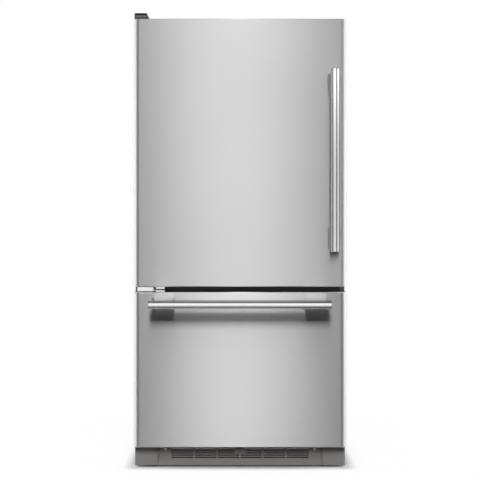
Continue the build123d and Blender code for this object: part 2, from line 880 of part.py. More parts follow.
with BuildPart() as center_hinge_cover:
    center_cover_x = (hinge_x - center_cover_left, hinge_x + center_cover_right)
    center_cover_z = (center_plate_top, center_plate_top + center_cover_height)
    block(center_cover_x, center_cover_y, (center_plate_top - center_cover_skirt, center_cover_z[1]))
    fillet(center_hinge_cover.edges().filter_by(Axis.Z).group_by(Axis.Y)[0], center_cover_corner)
    block(
        (center_cover_x[0] + center_cover_wall, center_cover_x[1] - center_cover_wall),
        (center_cover_y[0] + center_cover_wall + hinge_plate, center_cover_y[1] - center_cover_wall),
        (center_cover_z[0], center_cover_z[1] - center_cover_wall),
        Mode.SUBTRACT,
    )
    block(
        center_cover_x,
        (center_plate_y, center_cover_y[1]),
        (center_plate_top - center_cover_skirt, center_plate_top),
        Mode.SUBTRACT,
    )
    rod(
        (hinge_x, hinge_y, center_cover_z[0]),
        (0, 0, 1),
        pin_shoulder_radius + pin_fit,
        center_cover_height,
        Mode.SUBTRACT,
    )
save(center_hinge_cover, "center_hinge_cover")

stop_x = (center_plate_x[1] - center_tab_width, center_plate_x[1])
stop_front_y = center_plate_y - hinge_plate

stop_y = (stop_front_y, stop_front_y + stop_depth)

with BuildPart() as door_stop_bracket:
    block(stop_x, stop_y, (upper_door_bottom - stop_sheet, upper_door_bottom))
    block(stop_x, (stop_y[0], stop_y[0] + stop_sheet), (upper_door_bottom - stop_drop, upper_door_bottom))
save(door_stop_bracket, "door_stop_bracket")


# ---- Doors -----------------------------------------------------------------------------------
def door_form(builder, inset, z, back_y):
    """A door's outer form, drawn in by an inset on its face, sides, top and bottom."""
    block(
        (inset - door_half, door_half - inset),
        (door_front_y + inset, back_y),
        (z[0] + inset, z[1] - inset),
    )
    uprights = builder.edges().filter_by(Axis.Z).group_by(Axis.Y)[0]
    fillet(uprights, door_edge_radius - inset)
    ends = builder.faces().filter_by(Axis.Z)
    rims = [edge for face in ends for edge in face.edges() if edge.center().Y < back_y - inset]
    fillet(rims, door_face_radius - inset)


def door_core(z):
    """The space inside a door's skin."""
    with BuildPart() as core:
        door_form(core, door_sheet, z, door_back_y)
    return core.part


def core_block(y, z, mode=Mode.ADD):
    """A block across a door, inside its skin's sides and rounded front corners."""
    front = door_front_y + door_sheet
    with BuildSketch(Plane.XY.offset(z[0])) as plan:
        with Locations((0, (front + y[1]) / 2)):
            Rectangle(2 * skin_inside, y[1] - front)
        fillet(plan.vertices().group_by(Axis.Y)[0], door_edge_radius - door_sheet)
        with Locations((0, (front + y[0]) / 2)):
            Rectangle(2 * skin_inside, y[0] - front, mode=Mode.SUBTRACT)
    extrude(plan.sketch, amount=z[1] - z[0], mode=mode)


def door_skin(z):
    """The folded steel face with its sides, and short returns at its top and bottom."""
    with BuildPart() as skin:
        door_form(skin, 0.0, z, door_back_y)
        add(door_core(z), mode=Mode.SUBTRACT)
        core_block((door_front_y + door_return, door_back_y), z, Mode.SUBTRACT)
    return skin


upper_door_z = (upper_door_bottom, upper_door_top)
drawer_front_z = (drawer_front_bottom, drawer_front_top)
cap_y = (door_front_y + door_return, door_liner_y)

save(door_skin(upper_door_z), "upper_door_skin")
save(door_skin(drawer_front_z), "drawer_front_skin")

with BuildPart() as upper_door_caps:
    core_block(cap_y, (upper_door_top - cap_thickness, upper_door_top))
    core_block(cap_y, (upper_door_bottom, upper_door_bottom + cap_thickness))
    for start, way in ((upper_door_top, -1), (upper_door_bottom, 1)):
        rod((hinge_x, hinge_y, start), (0, 0, way), bushing_radius + hinge_plate, bushing_length)
        rod((hinge_x, hinge_y, start), (0, 0, way), bushing_radius, bushing_length, Mode.SUBTRACT)
        rod((hinge_x, hinge_y, start), (0, 0, way), bushing_radius - pin_fit, bushing_length)
        rod((hinge_x, hinge_y, start), (0, 0, way), pin_radius + pin_fit, bushing_length, Mode.SUBTRACT)
    plug_place = (plug_radius - stop_x[1], stop_front_y + 2 * plug_radius, upper_door_bottom)
    rod(plug_place, (0, 0, -1), plug_radius, plug_height)
save(upper_door_caps, "upper_door_caps")

with BuildPart() as drawer_front_caps:
    core_block(cap_y, (drawer_front_top - cap_thickness, drawer_front_top))
    core_block(cap_y, (drawer_front_bottom, drawer_front_bottom + cap_thickness))
save(drawer_front_caps, "drawer_front_caps")

dyke_z = (upper_door_bottom + dyke_bottom_margin, upper_door_top - dyke_top_margin)
dyke_y = (door_back_y, door_back_y + dyke_depth)
dyke_inside_z = (dyke_z[0] + dyke_width, dyke_z[1] - dyke_width)
pan_z = (freezer_floor + pan_margin, freezer_ceiling - pan_margin)

with BuildPart() as upper_door_liner:
    slab(skin_inside, (door_liner_y, door_back_y), upper_door_z)
    slab(dyke_half_width, dyke_y, dyke_z, dyke_corner)
    slab(dyke_half_width - dyke_width, dyke_y, dyke_inside_z, dyke_corner, Mode.SUBTRACT)
    slab(
        dyke_half_width - liner_wall,
        (door_liner_y, dyke_y[1] - liner_wall),
        (dyke_z[0] + liner_wall, dyke_z[1] - liner_wall),
        dyke_corner - liner_wall,
        Mode.SUBTRACT,
    )
    slab(
        dyke_half_width - dyke_width + liner_wall,
        (door_liner_y, dyke_y[1] - liner_wall),
        (dyke_inside_z[0] - liner_wall, dyke_inside_z[1] + liner_wall),
        dyke_corner + liner_wall,
    )
    slab(
        dyke_half_width - dyke_width,
        dyke_y,
        dyke_inside_z,
        dyke_corner,
        Mode.SUBTRACT,
    )
save(upper_door_liner, "upper_door_liner")

with BuildPart() as drawer_front_liner:
    slab(skin_inside, (door_liner_y, door_back_y), drawer_front_z)
    slab(pan_half_width, (door_back_y, door_back_y + pan_depth), pan_z, dyke_corner)
    slab(
        pan_half_width - liner_wall,
        (door_liner_y, door_back_y + pan_depth - liner_wall),
        (pan_z[0] + liner_wall, pan_z[1] - liner_wall),
        dyke_corner - liner_wall,
        Mode.SUBTRACT,
    )
save(drawer_front_liner, "drawer_front_liner")

with BuildPart() as upper_door_foam:
    add(door_core(upper_door_z))
    slab(skin_inside, (door_liner_y, door_back_y), upper_door_z, mode=Mode.SUBTRACT)
    slab(
        skin_inside,
        (cap_y[0], door_back_y),
        (upper_door_top - cap_thickness, upper_door_top),
        mode=Mode.SUBTRACT,
    )
    slab(
        skin_inside,
        (cap_y[0], door_back_y),
        (upper_door_bottom, upper_door_bottom + cap_thickness),
        mode=Mode.SUBTRACT,
    )
    for start, way in ((upper_door_top, -1), (upper_door_bottom, 1)):
        place = (hinge_x, hinge_y, start)
        rod(place, (0, 0, way), bushing_radius + hinge_plate, bushing_length, Mode.SUBTRACT)
    with BuildSketch(Plane.XZ.offset(-(dyke_y[1] - liner_wall))):
        with Locations((0, (dyke_z[0] + dyke_z[1]) / 2)):
            RectangleRounded(
                2 * (dyke_half_width - liner_wall),
                dyke_z[1] - dyke_z[0] - 2 * liner_wall,
                dyke_corner - liner_wall,
            )
        with Locations((0, (dyke_inside_z[0] + dyke_inside_z[1]) / 2)):
            RectangleRounded(
                2 * (dyke_half_width - dyke_width + liner_wall),
                dyke_inside_z[1] - dyke_inside_z[0] + 2 * liner_wall,
                dyke_corner + liner_wall,
                mode=Mode.SUBTRACT,
            )
    extrude(amount=dyke_depth)
save(upper_door_foam, "upper_door_foam")

with BuildPart() as drawer_front_foam:
    add(door_core(drawer_front_z))
    slab(skin_inside, (door_liner_y, door_back_y), drawer_front_z, mode=Mode.SUBTRACT)
    for z in (drawer_front_top - cap_thickness, drawer_front_bottom):
        slab(skin_inside, (cap_y[0], door_back_y), (z, z + cap_thickness), mode=Mode.SUBTRACT)
    slab(
        pan_half_width - liner_wall,
        (door_liner_y, door_back_y + pan_depth - liner_wall),
        (pan_z[0] + liner_wall, pan_z[1] - liner_wall),
        dyke_corner - liner_wall,
    )
save(drawer_front_foam, "drawer_front_foam")


def gasket(z):
    """A door seal: a flat ring with a groove round its sides, as a bellows has."""
    with BuildPart() as ring:
        slab(gasket_half, (door_back_y, cabinet_front_y), z, gasket_corner)
        slab(
            gasket_half - gasket_width,
            (door_back_y, cabinet_front_y),
            (z[0] + gasket_width, z[1] - gasket_width),
            gasket_corner,
            Mode.SUBTRACT,
        )
        middle = (door_back_y + cabinet_front_y) / 2
        groove_y = (middle - gasket_groove / 2, middle + gasket_groove / 2)
        with BuildSketch(Plane.XZ.offset(-groove_y[1])):
            with Locations((0, (z[0] + z[1]) / 2)):
                RectangleRounded(2 * gasket_half, z[1] - z[0], gasket_corner)
                RectangleRounded(
                    2 * (gasket_half - gasket_groove),
                    z[1] - z[0] - 2 * gasket_groove,
                    gasket_corner - gasket_groove,
                    mode=Mode.SUBTRACT,
                )
        extrude(amount=gasket_groove, mode=Mode.SUBTRACT)
    return ring


upper_gasket_z = (upper_door_bottom + gasket_gap_inset, upper_door_top - gasket_top_inset)
drawer_gasket_z = (drawer_front_bottom + gasket_bottom_inset, drawer_front_top - gasket_gap_inset)

save(gasket(upper_gasket_z), "upper_door_gasket")
save(gasket(drawer_gasket_z), "drawer_gasket")


# ---- Handles: each is drawn along its own X in a plane that stands on its door ---------------
def handle_bar(place, along):
    """A bar with a round front; its back lies in the place's plane, its length along X there."""
    start = Plane(origin=place.origin - place.x_dir * bar_length / 2, x_dir=place.z_dir, z_dir=place.x_dir)
    with BuildPart() as bar:
        with BuildSketch(start) as section:
            with Locations((bar_depth / 2, 0)):
                Rectangle(bar_depth, bar_width)
            fillet(section.vertices().group_by(Axis.X)[-1], bar_face_radius)
            fillet(section.vertices().group_by(Axis.X)[0], bar_back_radius)
        extrude(section.sketch, amount=bar_length, dir=place.x_dir)
        ends = bar.faces().sort_by(along)
        fillet(ends[0].edges() + ends[-1].edges(), bar_end_radius)
    return bar


def standoffs(place):
    """Two posts from the door's face to the bar's back, wider at the door."""
    with BuildPart() as posts:
        middle = bar_length / 2 - standoff_end_gap - standoff_length / 2
        for x in (-middle, middle):
            with BuildSketch(place.offset(bar_back_y - door_front_y)):
                foot_length = standoff_length + standoff_foot_growth
                with Locations((x, 0)):
                    RectangleRounded(foot_length, standoff_foot, standoff_foot_growth)
            with BuildSketch(place):
                with Locations((x, 0)):
                    RectangleRounded(standoff_length, standoff_neck, standoff_foot_growth)
            loft()
    return posts


upper_handle_x = door_half - upper_handle_inset
upper_handle_z = upper_door_bottom + upper_handle_lift + bar_length / 2
drawer_handle_z = drawer_front_top - drawer_handle_drop
upper_handle_place = Plane(
    origin=(upper_handle_x, bar_back_y, upper_handle_z), x_dir=(0, 0, 1), z_dir=(0, -1, 0)
)
drawer_handle_place = Plane(origin=(0, bar_back_y, drawer_handle_z), x_dir=(1, 0, 0), z_dir=(0, -1, 0))

save(handle_bar(upper_handle_place, Axis.Z), "upper_handle_bar")
save(standoffs(upper_handle_place), "upper_handle_standoffs")
save(handle_bar(drawer_handle_place, Axis.X), "drawer_handle_bar")
save(standoffs(drawer_handle_place), "drawer_handle_standoffs")


# ---- Fresh food compartment: shelves, crispers, controls, lamp, duct -------------------------
shelf_y = (shelf_front_y, shelf_back_y)


def shelf_frame(half_width, y, top):
    """A moulded rim round a glass pane, deeper along its front edge, with a ledge under the glass."""
    inner = half_width - shelf_rim
    inner_y = (y[0] + shelf_rim, y[1] - shelf_rim)
    low = top - shelf_rim_height
    slab(half_width, y, (low, top))
    slab(half_width, (y[0], y[0] + shelf_rim), (top - shelf_front_height, low))
    slab(inner, inner_y, (top - glass_thickness, top), mode=Mode.SUBTRACT)
    ledge = shelf_rim / 2
    slab(inner - ledge, (inner_y[0] + ledge, inner_y[1] - ledge), (low, top), mode=Mode.SUBTRACT)


def shelf_pane(half_width, y, top):
    """The glass that lies in a shelf's rim."""
    slab(half_width - shelf_rim, (y[0] + shelf_rim, y[1] - shelf_rim), (top - glass_thickness, top))


with BuildPart() as shelf_frames:
    for top in shelf_tops:
        shelf_frame(shelf_half_width, shelf_y, top)
    shelf_frame(fridge_half, (shelf_front_y, fridge_back_y), crisper_shelf_top)
save(shelf_frames, "shelf_frames")

with BuildPart() as shelf_glass:
    for top in shelf_tops:
        shelf_pane(shelf_half_width, shelf_y, top)
    shelf_pane(fridge_half, (shelf_front_y, fridge_back_y), crisper_shelf_top)
save(shelf_glass, "shelf_glass")

with BuildPart() as shelf_ladders:
    slot_count = int((ladder_top - ladder_bottom) / ladder_slot_pitch) - 1
    for x in (-ladder_x, ladder_x):
        block(
            (x - ladder_width / 2, x + ladder_width / 2),
            (ladder_front_y, fridge_back_y),
            (ladder_bottom, ladder_top),
        )
        with BuildSketch(Plane.XZ.offset(-fridge_back_y)):
            with Locations((x, (ladder_bottom + ladder_top) / 2)):
                with GridLocations(ladder_slot[0], ladder_slot_pitch, 1, slot_count):
                    Rectangle(*ladder_slot)
        extrude(amount=ladder_depth, mode=Mode.SUBTRACT)
        for top in shelf_tops:
            high = top - shelf_rim_height
            with BuildSketch(Plane.YZ.offset(x - arm_sheet / 2)):
                with BuildLine():
                    Polyline(
                        (ladder_front_y, high),
                        (shelf_front_y + arm_front_gap, high),
                        (shelf_front_y + arm_front_gap, high - arm_tip_height),
                        (ladder_front_y, high - arm_root_height),
                        close=True,
                    )
                make_face()
            extrude(amount=arm_sheet)
save(shelf_ladders, "shelf_ladders")

crisper_z = (
    fridge_floor + crisper_floor_gap,
    crisper_shelf_top - shelf_rim_height - ledge_height - crisper_top_gap,
)
crisper_y = (shelf_front_y, fridge_back_y - crisper_back_gap)


def crisper(side):
    """An open-topped drawer with a pull along its front's top edge."""
    x = (crisper_gap / 2, fridge_half - ledge_width - crisper_gap)
    x = x if side > 0 else (-x[1], -x[0])
    with BuildPart() as drawer:
        block(x, crisper_y, crisper_z)
        fillet(drawer.edges().filter_by(Axis.Z), 2 * crisper_wall)
        block(
            (x[0] + crisper_wall, x[1] - crisper_wall),
            (crisper_y[0] + crisper_wall, crisper_y[1] - crisper_wall),
            (crisper_z[0] + crisper_wall, crisper_z[1]),
            Mode.SUBTRACT,
        )
        block(
            (x[0] + crisper_pull_height, x[1] - crisper_pull_height),
            (crisper_y[0] - crisper_pull_reach, crisper_y[0]),
            (crisper_z[1] - crisper_wall, crisper_z[1]),
        )
        block(
            (x[0] + crisper_pull_height, x[1] - crisper_pull_height),
            (crisper_y[0] - crisper_pull_reach, crisper_y[0] - crisper_pull_reach + crisper_wall),
            (crisper_z[1] - crisper_pull_height, crisper_z[1]),
        )
    return drawer


save(crisper(-1), "crisper_left")
save(crisper(1), "crisper_right")

housing_y = (cabinet_front_y + housing_setback, cabinet_front_y + housing_setback + housing_depth)
housing_z = (fridge_ceiling - housing_height, fridge_ceiling)
knob_z = (housing_z[0] + housing_z[1]) / 2

with BuildPart() as control_housing:
    slab(housing_half_width, housing_y, housing_z)
    slab(
        housing_half_width - housing_wall,
        (housing_y[0] + housing_wall, housing_y[1] - housing_wall),
        (housing_z[0] + housing_wall, housing_z[1]),
        mode=Mode.SUBTRACT,
    )
    for x in (-knob_x, knob_x):
        rod((x, housing_y[0], knob_z), (0, 1, 0), knob_shaft_radius + pin_fit, housing_wall, Mode.SUBTRACT)
save(control_housing, "control_housing")


def knob(x):
    """A control knob with a grip ridge across its face and a shaft into the housing."""
    face_y = housing_y[0] - knob_gap
    with BuildPart() as piece:
        rod((x, face_y, knob_z), (0, -1, 0), knob_radius, knob_depth / 2)
        block(
            (x - knob_ridge / 2, x + knob_ridge / 2),
            (face_y - knob_depth, face_y - knob_depth / 2),
            (knob_z - knob_radius + knob_ridge_inset, knob_z + knob_radius - knob_ridge_inset),
        )
        rod((x, face_y, knob_z), (0, 1, 0), knob_shaft_radius, knob_shaft_length)
    return piece


save(knob(-knob_x), "fridge_knob")
save(knob(knob_x), "freezer_knob")

with BuildPart() as lamp_lens:
    lens_y = (housing_y[1], housing_y[1] + lens_depth)
    lens_z = (fridge_ceiling - lens_height, fridge_ceiling)
    slab(lens_half_width, lens_y, lens_z)
    slab(
        lens_half_width - lens_wall,
        (lens_y[0] + lens_wall, lens_y[1] - lens_wall),
        (lens_z[0] + lens_wall, lens_z[1]),
        mode=Mode.SUBTRACT,
    )
save(lamp_lens, "lamp_lens")

with BuildPart() as air_duct:
    duct_y = (fridge_back_y - duct_depth, fridge_back_y)
    duct_slots = int((duct_top - duct_bottom) / duct_slot_pitch) - 1
    slab(duct_half_width, duct_y, (duct_bottom, duct_top))
    slab(
        duct_half_width - duct_wall,
        (duct_y[0] + duct_wall, duct_y[1]),
        (duct_bottom + duct_wall, duct_top - duct_wall),
        mode=Mode.SUBTRACT,
    )
    with BuildSketch(Plane.XZ.offset(-(duct_y[0] + duct_wall))):
        with Locations((0, (duct_bottom + duct_top) / 2)):
            with GridLocations(duct_half_width, duct_slot_pitch, 2, duct_slots):
                SlotOverall(*duct_slot)
    extrude(amount=duct_wall, mode=Mode.SUBTRACT)
save(air_duct, "air_duct")


# ---- Door storage ----------------------------------------------------------------------------
bin_half = dyke_half_width - dyke_width
dairy_floor = dyke_z[1] - dairy_drop - dairy_height
flap_line_z = dairy_floor + dairy_height - flap_pin_drop
flap_y = (door_back_y + dairy_depth + flap_gap, door_back_y + dairy_depth + flap_gap + flap_thickness)
flap_half = dairy_half_width - bin_wall - flap_side_gap


def bin_tray(half_width, depth, z):
    """An open-topped bin against the door's inner panel."""
    slab(half_width, (door_back_y, door_back_y + depth), z)
    slab(
        half_width - bin_wall,
        (door_back_y + bin_wall, door_back_y + depth - bin_wall),
        (z[0] + bin_wall, z[1]),
        mode=Mode.SUBTRACT,
    )


with BuildPart() as door_bins:
    for lift, height in zip(bin_floor_lifts, bin_wall_heights):
        low = dyke_inside_z[0] + dyke_corner + lift
        bin_tray(bin_half, bin_depth, (low, low + height))
    dairy_z = (dairy_floor, dairy_floor + dairy_height)
    dairy_y = (door_back_y, door_back_y + dairy_depth)
    slab(dairy_half_width, dairy_y, dairy_z)
    slab(
        dairy_half_width - bin_wall,
        (dairy_y[0] + bin_wall, dairy_y[1] - bin_wall),
        (dairy_z[0] + bin_wall, dairy_z[1] - bin_wall),
        mode=Mode.SUBTRACT,
    )
    slab(
        dairy_half_width - bin_wall,
        (dairy_y[1] - bin_wall, dairy_y[1]),
        (dairy_z[0] + dairy_sill, dairy_z[1] - bin_wall),
        mode=Mode.SUBTRACT,
    )
    both_sides(
        (dairy_half_width - bin_wall, dairy_half_width),
        (dairy_y[1], dairy_y[1] + flap_ear),
        (flap_line_z - flap_ear, dairy_z[1]),
    )
    both_sides(
        (dairy_half_width, bin_half),
        (dairy_y[0], dairy_y[0] + flap_ear),
        (dairy_z[1] - bin_wall, dairy_z[1]),
    )
    rod(
        (-dairy_half_width, (flap_y[0] + flap_y[1]) / 2, flap_line_z),
        (1, 0, 0),
        flap_pin_radius + pin_fit,
        2 * dairy_half_width,
        Mode.SUBTRACT,
    )
save(door_bins, "door_bins")

with BuildPart() as dairy_flap:
    flap_middle_y = (flap_y[0] + flap_y[1]) / 2
    slab(flap_half, flap_y, (dairy_floor + dairy_sill - flap_thickness, flap_line_z))
    rod((-flap_half, flap_middle_y, flap_line_z), (1, 0, 0), flap_thickness / 2, 2 * flap_half)
    rod(
        (-flap_half - flap_pin_length, flap_middle_y, flap_line_z),
        (1, 0, 0),
        flap_pin_radius,
        2 * (flap_half + flap_pin_length),
    )
    block(
        (-flap_ear * 2, flap_ear * 2),
        (flap_y[1], flap_y[1] + flap_ear / 2),
        (dairy_floor + dairy_sill - flap_thickness, dairy_floor + dairy_sill),
    )
save(dairy_flap, "dairy_flap")


# ---- Freezer: rails, brackets, basket, tray --------------------------------------------------
rail_y = (rail_front_y, cover_back_y - evaporator_cover_sheet - rail_back_gap)
rail_z = (rail_bottom, rail_top)
middle_rail_z = (rail_bottom + rail_sheet + rail_gap, rail_top - rail_sheet - rail_gap)
inner_rail_z = (middle_rail_z[0] + rail_sheet + rail_gap, middle_rail_z[1] - rail_sheet - rail_gap)
outer_rail_x = (freezer_half - rail_depth, freezer_half)
middle_rail_x = (outer_rail_x[0], freezer_half - rail_sheet - rail_gap)
middle_web = (middle_rail_x[0] + middle_rail_x[1] - rail_sheet) / 2
bracket_x = (outer_rail_x[0] - rail_gap - rail_sheet, outer_rail_x[0] - rail_gap)
basket_half = bracket_x[0] - basket_side_gap


def channel(x, y, z, web_outside):
    """A C-shaped rail lying along Y, on the right and on the left."""
    both_sides(x, y, z)
    hollow = (x[0], x[1] - rail_sheet) if web_outside else (x[0] + rail_sheet, x[1])
    both_sides(hollow, y, (z[0] + rail_sheet, z[1] - rail_sheet), Mode.SUBTRACT)


with BuildPart() as outer_rails:
    channel(outer_rail_x, rail_y, rail_z, web_outside=True)
save(outer_rails, "outer_rails")

with BuildPart() as middle_rails:
    both_sides(middle_rail_x, rail_y, middle_rail_z)
    both_sides(
        (middle_rail_x[0], middle_web),
        rail_y,
        (middle_rail_z[0] + rail_sheet, middle_rail_z[1] - rail_sheet),
        Mode.SUBTRACT,
    )
    both_sides(
        (middle_web + rail_sheet, middle_rail_x[1]),
        rail_y,
        (middle_rail_z[0] + rail_sheet, middle_rail_z[1] - rail_sheet),
        Mode.SUBTRACT,
    )
save(middle_rails, "middle_rails")

with BuildPart() as drawer_brackets:
    pan_back_y = door_back_y + pan_depth
    channel((bracket_x[1], middle_web - rail_gap), rail_y, inner_rail_z, web_outside=False)
    both_sides(bracket_x, (pan_back_y, rail_y[1]), rail_z)
    both_sides((bracket_x[0] - bracket_foot, bracket_x[0]), (pan_back_y, pan_back_y + rail_sheet), rail_z)
save(drawer_brackets, "drawer_brackets")

basket_y = (pan_back_y + basket_front_gap, freezer_step_y - basket_step_gap)
basket_z = (freezer_floor + basket_floor_gap, rail_top)
basket_inside = (
    (basket_y[0] + basket_wall, basket_y[1] - basket_wall),
    (basket_z[0] + basket_wall, basket_z[1]),
)

with BuildPart() as freezer_basket:
    slab(basket_half, basket_y, basket_z)
    fillet(freezer_basket.edges().filter_by(Axis.Z), basket_corner)
    slab(bracket_x[1], basket_y, (rail_top, rail_top + basket_wall))
    with BuildSketch(Plane.XY.offset(basket_inside[1][0])):
        with Locations((0, (basket_y[0] + basket_y[1]) / 2)):
            RectangleRounded(
                2 * (basket_half - basket_wall),
                basket_inside[0][1] - basket_inside[0][0],
                basket_corner - basket_wall,
            )
    extrude(amount=rail_top + basket_wall - basket_inside[1][0], mode=Mode.SUBTRACT)
    slot_z = (basket_z[0] + basket_z[1] - rail_height) / 2
    slot_count = int(2 * (basket_half - 2 * basket_corner) / basket_slot_pitch[0])
    with BuildSketch(Plane.XZ.offset(-basket_y[1])):
        with Locations((0, slot_z)):
            with GridLocations(*basket_slot_pitch, slot_count, 2):
                RectangleRounded(*basket_slot, basket_slot_corner)
    extrude(amount=basket_y[1] - basket_y[0], mode=Mode.SUBTRACT)
save(freezer_basket, "freezer_basket")

with BuildPart() as freezer_tray:
    tray_half = basket_half - basket_wall - tray_side_gap
    tray_y = (basket_inside[0][0] + tray_gap, basket_inside[0][0] + tray_gap + tray_depth)
    tray_lip_z = rail_top + basket_wall + tray_gap
    tray_middle = (0, (tray_y[0] + tray_y[1]) / 2)
    with BuildSketch(Plane.XY.offset(tray_lip_z - tray_height)):
        with Locations(tray_middle):
            RectangleRounded(2 * tray_half, tray_depth, basket_corner)
    extrude(amount=tray_height)
    slab(bracket_x[0], tray_y, (tray_lip_z, tray_lip_z + tray_wall))
    with BuildSketch(Plane.XY.offset(tray_lip_z - tray_height + tray_wall)):
        with Locations(tray_middle):
            RectangleRounded(
                2 * (tray_half - tray_wall),
                tray_depth - 2 * tray_wall,
                basket_corner - tray_wall,
            )
    extrude(amount=tray_height, mode=Mode.SUBTRACT)
save(freezer_tray, "freezer_tray")


# ---- Evaporator, fans, machine compartment ---------------------------------------------------
def tube_along(points, bend, radius, plane=Plane.XY):
    """A round tube along straight runs joined by bends, in a plane's own coordinates."""
    with BuildPart() as tube:
        with BuildLine(plane) as path:
            FilletPolyline(*points, radius=bend)
        with BuildSketch(Plane(origin=path.wire() @ 0, z_dir=path.wire() % 0)):
            Circle(radius)
        sweep(path=path.wire())
    return tube.part


def serpentine(plane, width, pitch, runs, radius):
    """A tube that runs back and forth across a width."""
    points = []
    for i in range(runs):
        ends = (-width / 2, width / 2) if i % 2 == 0 else (width / 2, -width / 2)
        points += [(end, i * pitch) for end in ends]
    return tube_along(points, pitch / 2 - bend_allowance, radius, plane)


coil_y = cover_back_y + evaporator_cover_gap / 2
coil_z = freezer_step_top + coil_lift
fin_top = fan_z - evaporator_fan_radius - coil_top_gap
coil_pitch = 2 * (fin_top - coil_z) / (2 * coil_runs - 1)
coil_half_width = freezer_half - coil_side_gap
coil_plane = Plane(origin=(0, coil_y, coil_z), x_dir=(1, 0, 0), z_dir=(0, -1, 0))

fin_y = (coil_y - fin_depth / 2, coil_y + fin_depth / 2)
fin_z = (coil_z - coil_pitch / 2, fin_top)
heater_z = freezer_step_top + heater_radius + coil_tube
end_plate_x = coil_half_width - coil_pitch

with BuildPart() as evaporator_coil:
    add(serpentine(coil_plane, 2 * coil_half_width, coil_pitch, coil_runs, coil_tube))
    for x in spread(coil_pitch - end_plate_x, end_plate_x - coil_pitch, fin_count):
        block((x - fin_sheet / 2, x + fin_sheet / 2), fin_y, fin_z)
    both_sides(
        (end_plate_x, end_plate_x + fin_sheet),
        (fin_y[0], freezer_back_y),
        (freezer_step_top, fin_z[1]),
    )
    rod((-coil_half_width, coil_y, heater_z), (1, 0, 0), heater_radius, 2 * coil_half_width)
save(evaporator_coil, "evaporator_coil")

cover_y = (cover_back_y - evaporator_cover_sheet, cover_back_y)

with BuildPart() as evaporator_cover:
    slab(freezer_half, cover_y, (freezer_step_top, freezer_ceiling), liner_corner)
    guard_hole = evaporator_fan_radius + fan_gap
    rod((0, cover_y[0], fan_z), (0, 1, 0), guard_hole, evaporator_cover_sheet, Mode.SUBTRACT)
    guard_plane = Plane(origin=(0, cover_y[0], fan_z), z_dir=(0, 1, 0))
    for ring in spread(guard_inner_radius, evaporator_fan_radius, guard_rings):
        with BuildSketch(guard_plane):
            Circle(ring)
            Circle(ring - guard_wire, mode=Mode.SUBTRACT)
        extrude(amount=evaporator_cover_sheet)
    guard_length = 2 * (evaporator_fan_radius + 2 * fan_gap)
    with BuildSketch(guard_plane):
        Rectangle(guard_length, guard_bar)
        Rectangle(guard_bar, guard_length)
    extrude(amount=evaporator_cover_sheet)
    with BuildSketch(Plane.XZ.offset(-cover_back_y)):
        with Locations((0, freezer_step_top + coil_lift)):
            with GridLocations(*cover_slot_pitch, cover_slot_columns, cover_slot_rows):
                SlotOverall(*cover_slot)
    extrude(amount=evaporator_cover_sheet, mode=Mode.SUBTRACT)
save(evaporator_cover, "evaporator_cover")


def fan(center, direction, radius):
    """A fan with a hub, a bore and pitched blades; the center is the hub's middle."""
    plane = Plane(origin=center, z_dir=direction)
    with BuildPart(plane) as piece:
        Cylinder(fan_hub_radius, fan_hub_depth)
        blade_length = radius - fan_hub_radius + fan_blade_sheet
        with PolarLocations(fan_hub_radius - fan_blade_sheet + blade_length / 2, fan_blades):
            Box(blade_length, fan_blade_chord, fan_blade_sheet, rotation=(fan_blade_pitch, 0, 0))
        Cylinder(motor_shaft_radius + pin_fit, fan_hub_depth, mode=Mode.SUBTRACT)
    return piece


def motor_can(center, direction):
    """A can motor behind its fan, with a shaft through the fan's hub."""
    shaft_start = -fan_hub_depth / 2
    can_start = fan_hub_depth / 2 + fan_gap
    plane = Plane(origin=center, z_dir=direction)
    with BuildPart(plane) as piece:
        with BuildSketch(plane.offset(shaft_start)):
            Circle(motor_shaft_radius)
        extrude(amount=can_start - shaft_start)
        with BuildSketch(plane.offset(can_start)):
            Circle(motor_radius)
        extrude(amount=motor_depth)
    return piece.part


evaporator_fan_y = cover_back_y + fan_hub_depth / 2 + fan_gap
save(fan((0, evaporator_fan_y, fan_z), (0, 1, 0), evaporator_fan_radius), "evaporator_fan")

machine_y = (machine_front_y, panel_front_y)
machine_middle_y = (machine_y[0] + machine_y[1]) / 2
condenser_fan_center = (condenser_fan_x, machine_middle_y, deck_top + condenser_fan_radius + motor_radius)
save(fan(condenser_fan_center, (1, 0, 0), condenser_fan_radius), "condenser_fan")

with BuildPart() as fan_motors:
    add(motor_can((0, evaporator_fan_y, fan_z), (0, 1, 0)))
    can_back_y = evaporator_fan_y + fan_hub_depth / 2 + fan_gap + motor_depth
    rod((0, can_back_y, fan_z), (0, 1, 0), motor_arm, freezer_back_y - can_back_y)
    add(motor_can(condenser_fan_center, (1, 0, 0)))
    can_x = condenser_fan_x + fan_hub_depth / 2 + fan_gap
    block(
        (can_x + motor_arm, can_x + 2 * motor_arm),
        (machine_middle_y - 2 * motor_arm, machine_middle_y + 2 * motor_arm),
        (deck_top, condenser_fan_center[2]),
    )
    block(
        (can_x, can_x + motor_foot[0]),
        (machine_middle_y - motor_foot[1] / 2, machine_middle_y + motor_foot[1] / 2),
        (deck_top, deck_top + deck_sheet),
    )
save(fan_motors, "fan_motors")

foot_plate_z = deck_top + grommet_height
shell_z = foot_plate_z + compressor_foot_sheet
compressor_center = (compressor_x, machine_middle_y)

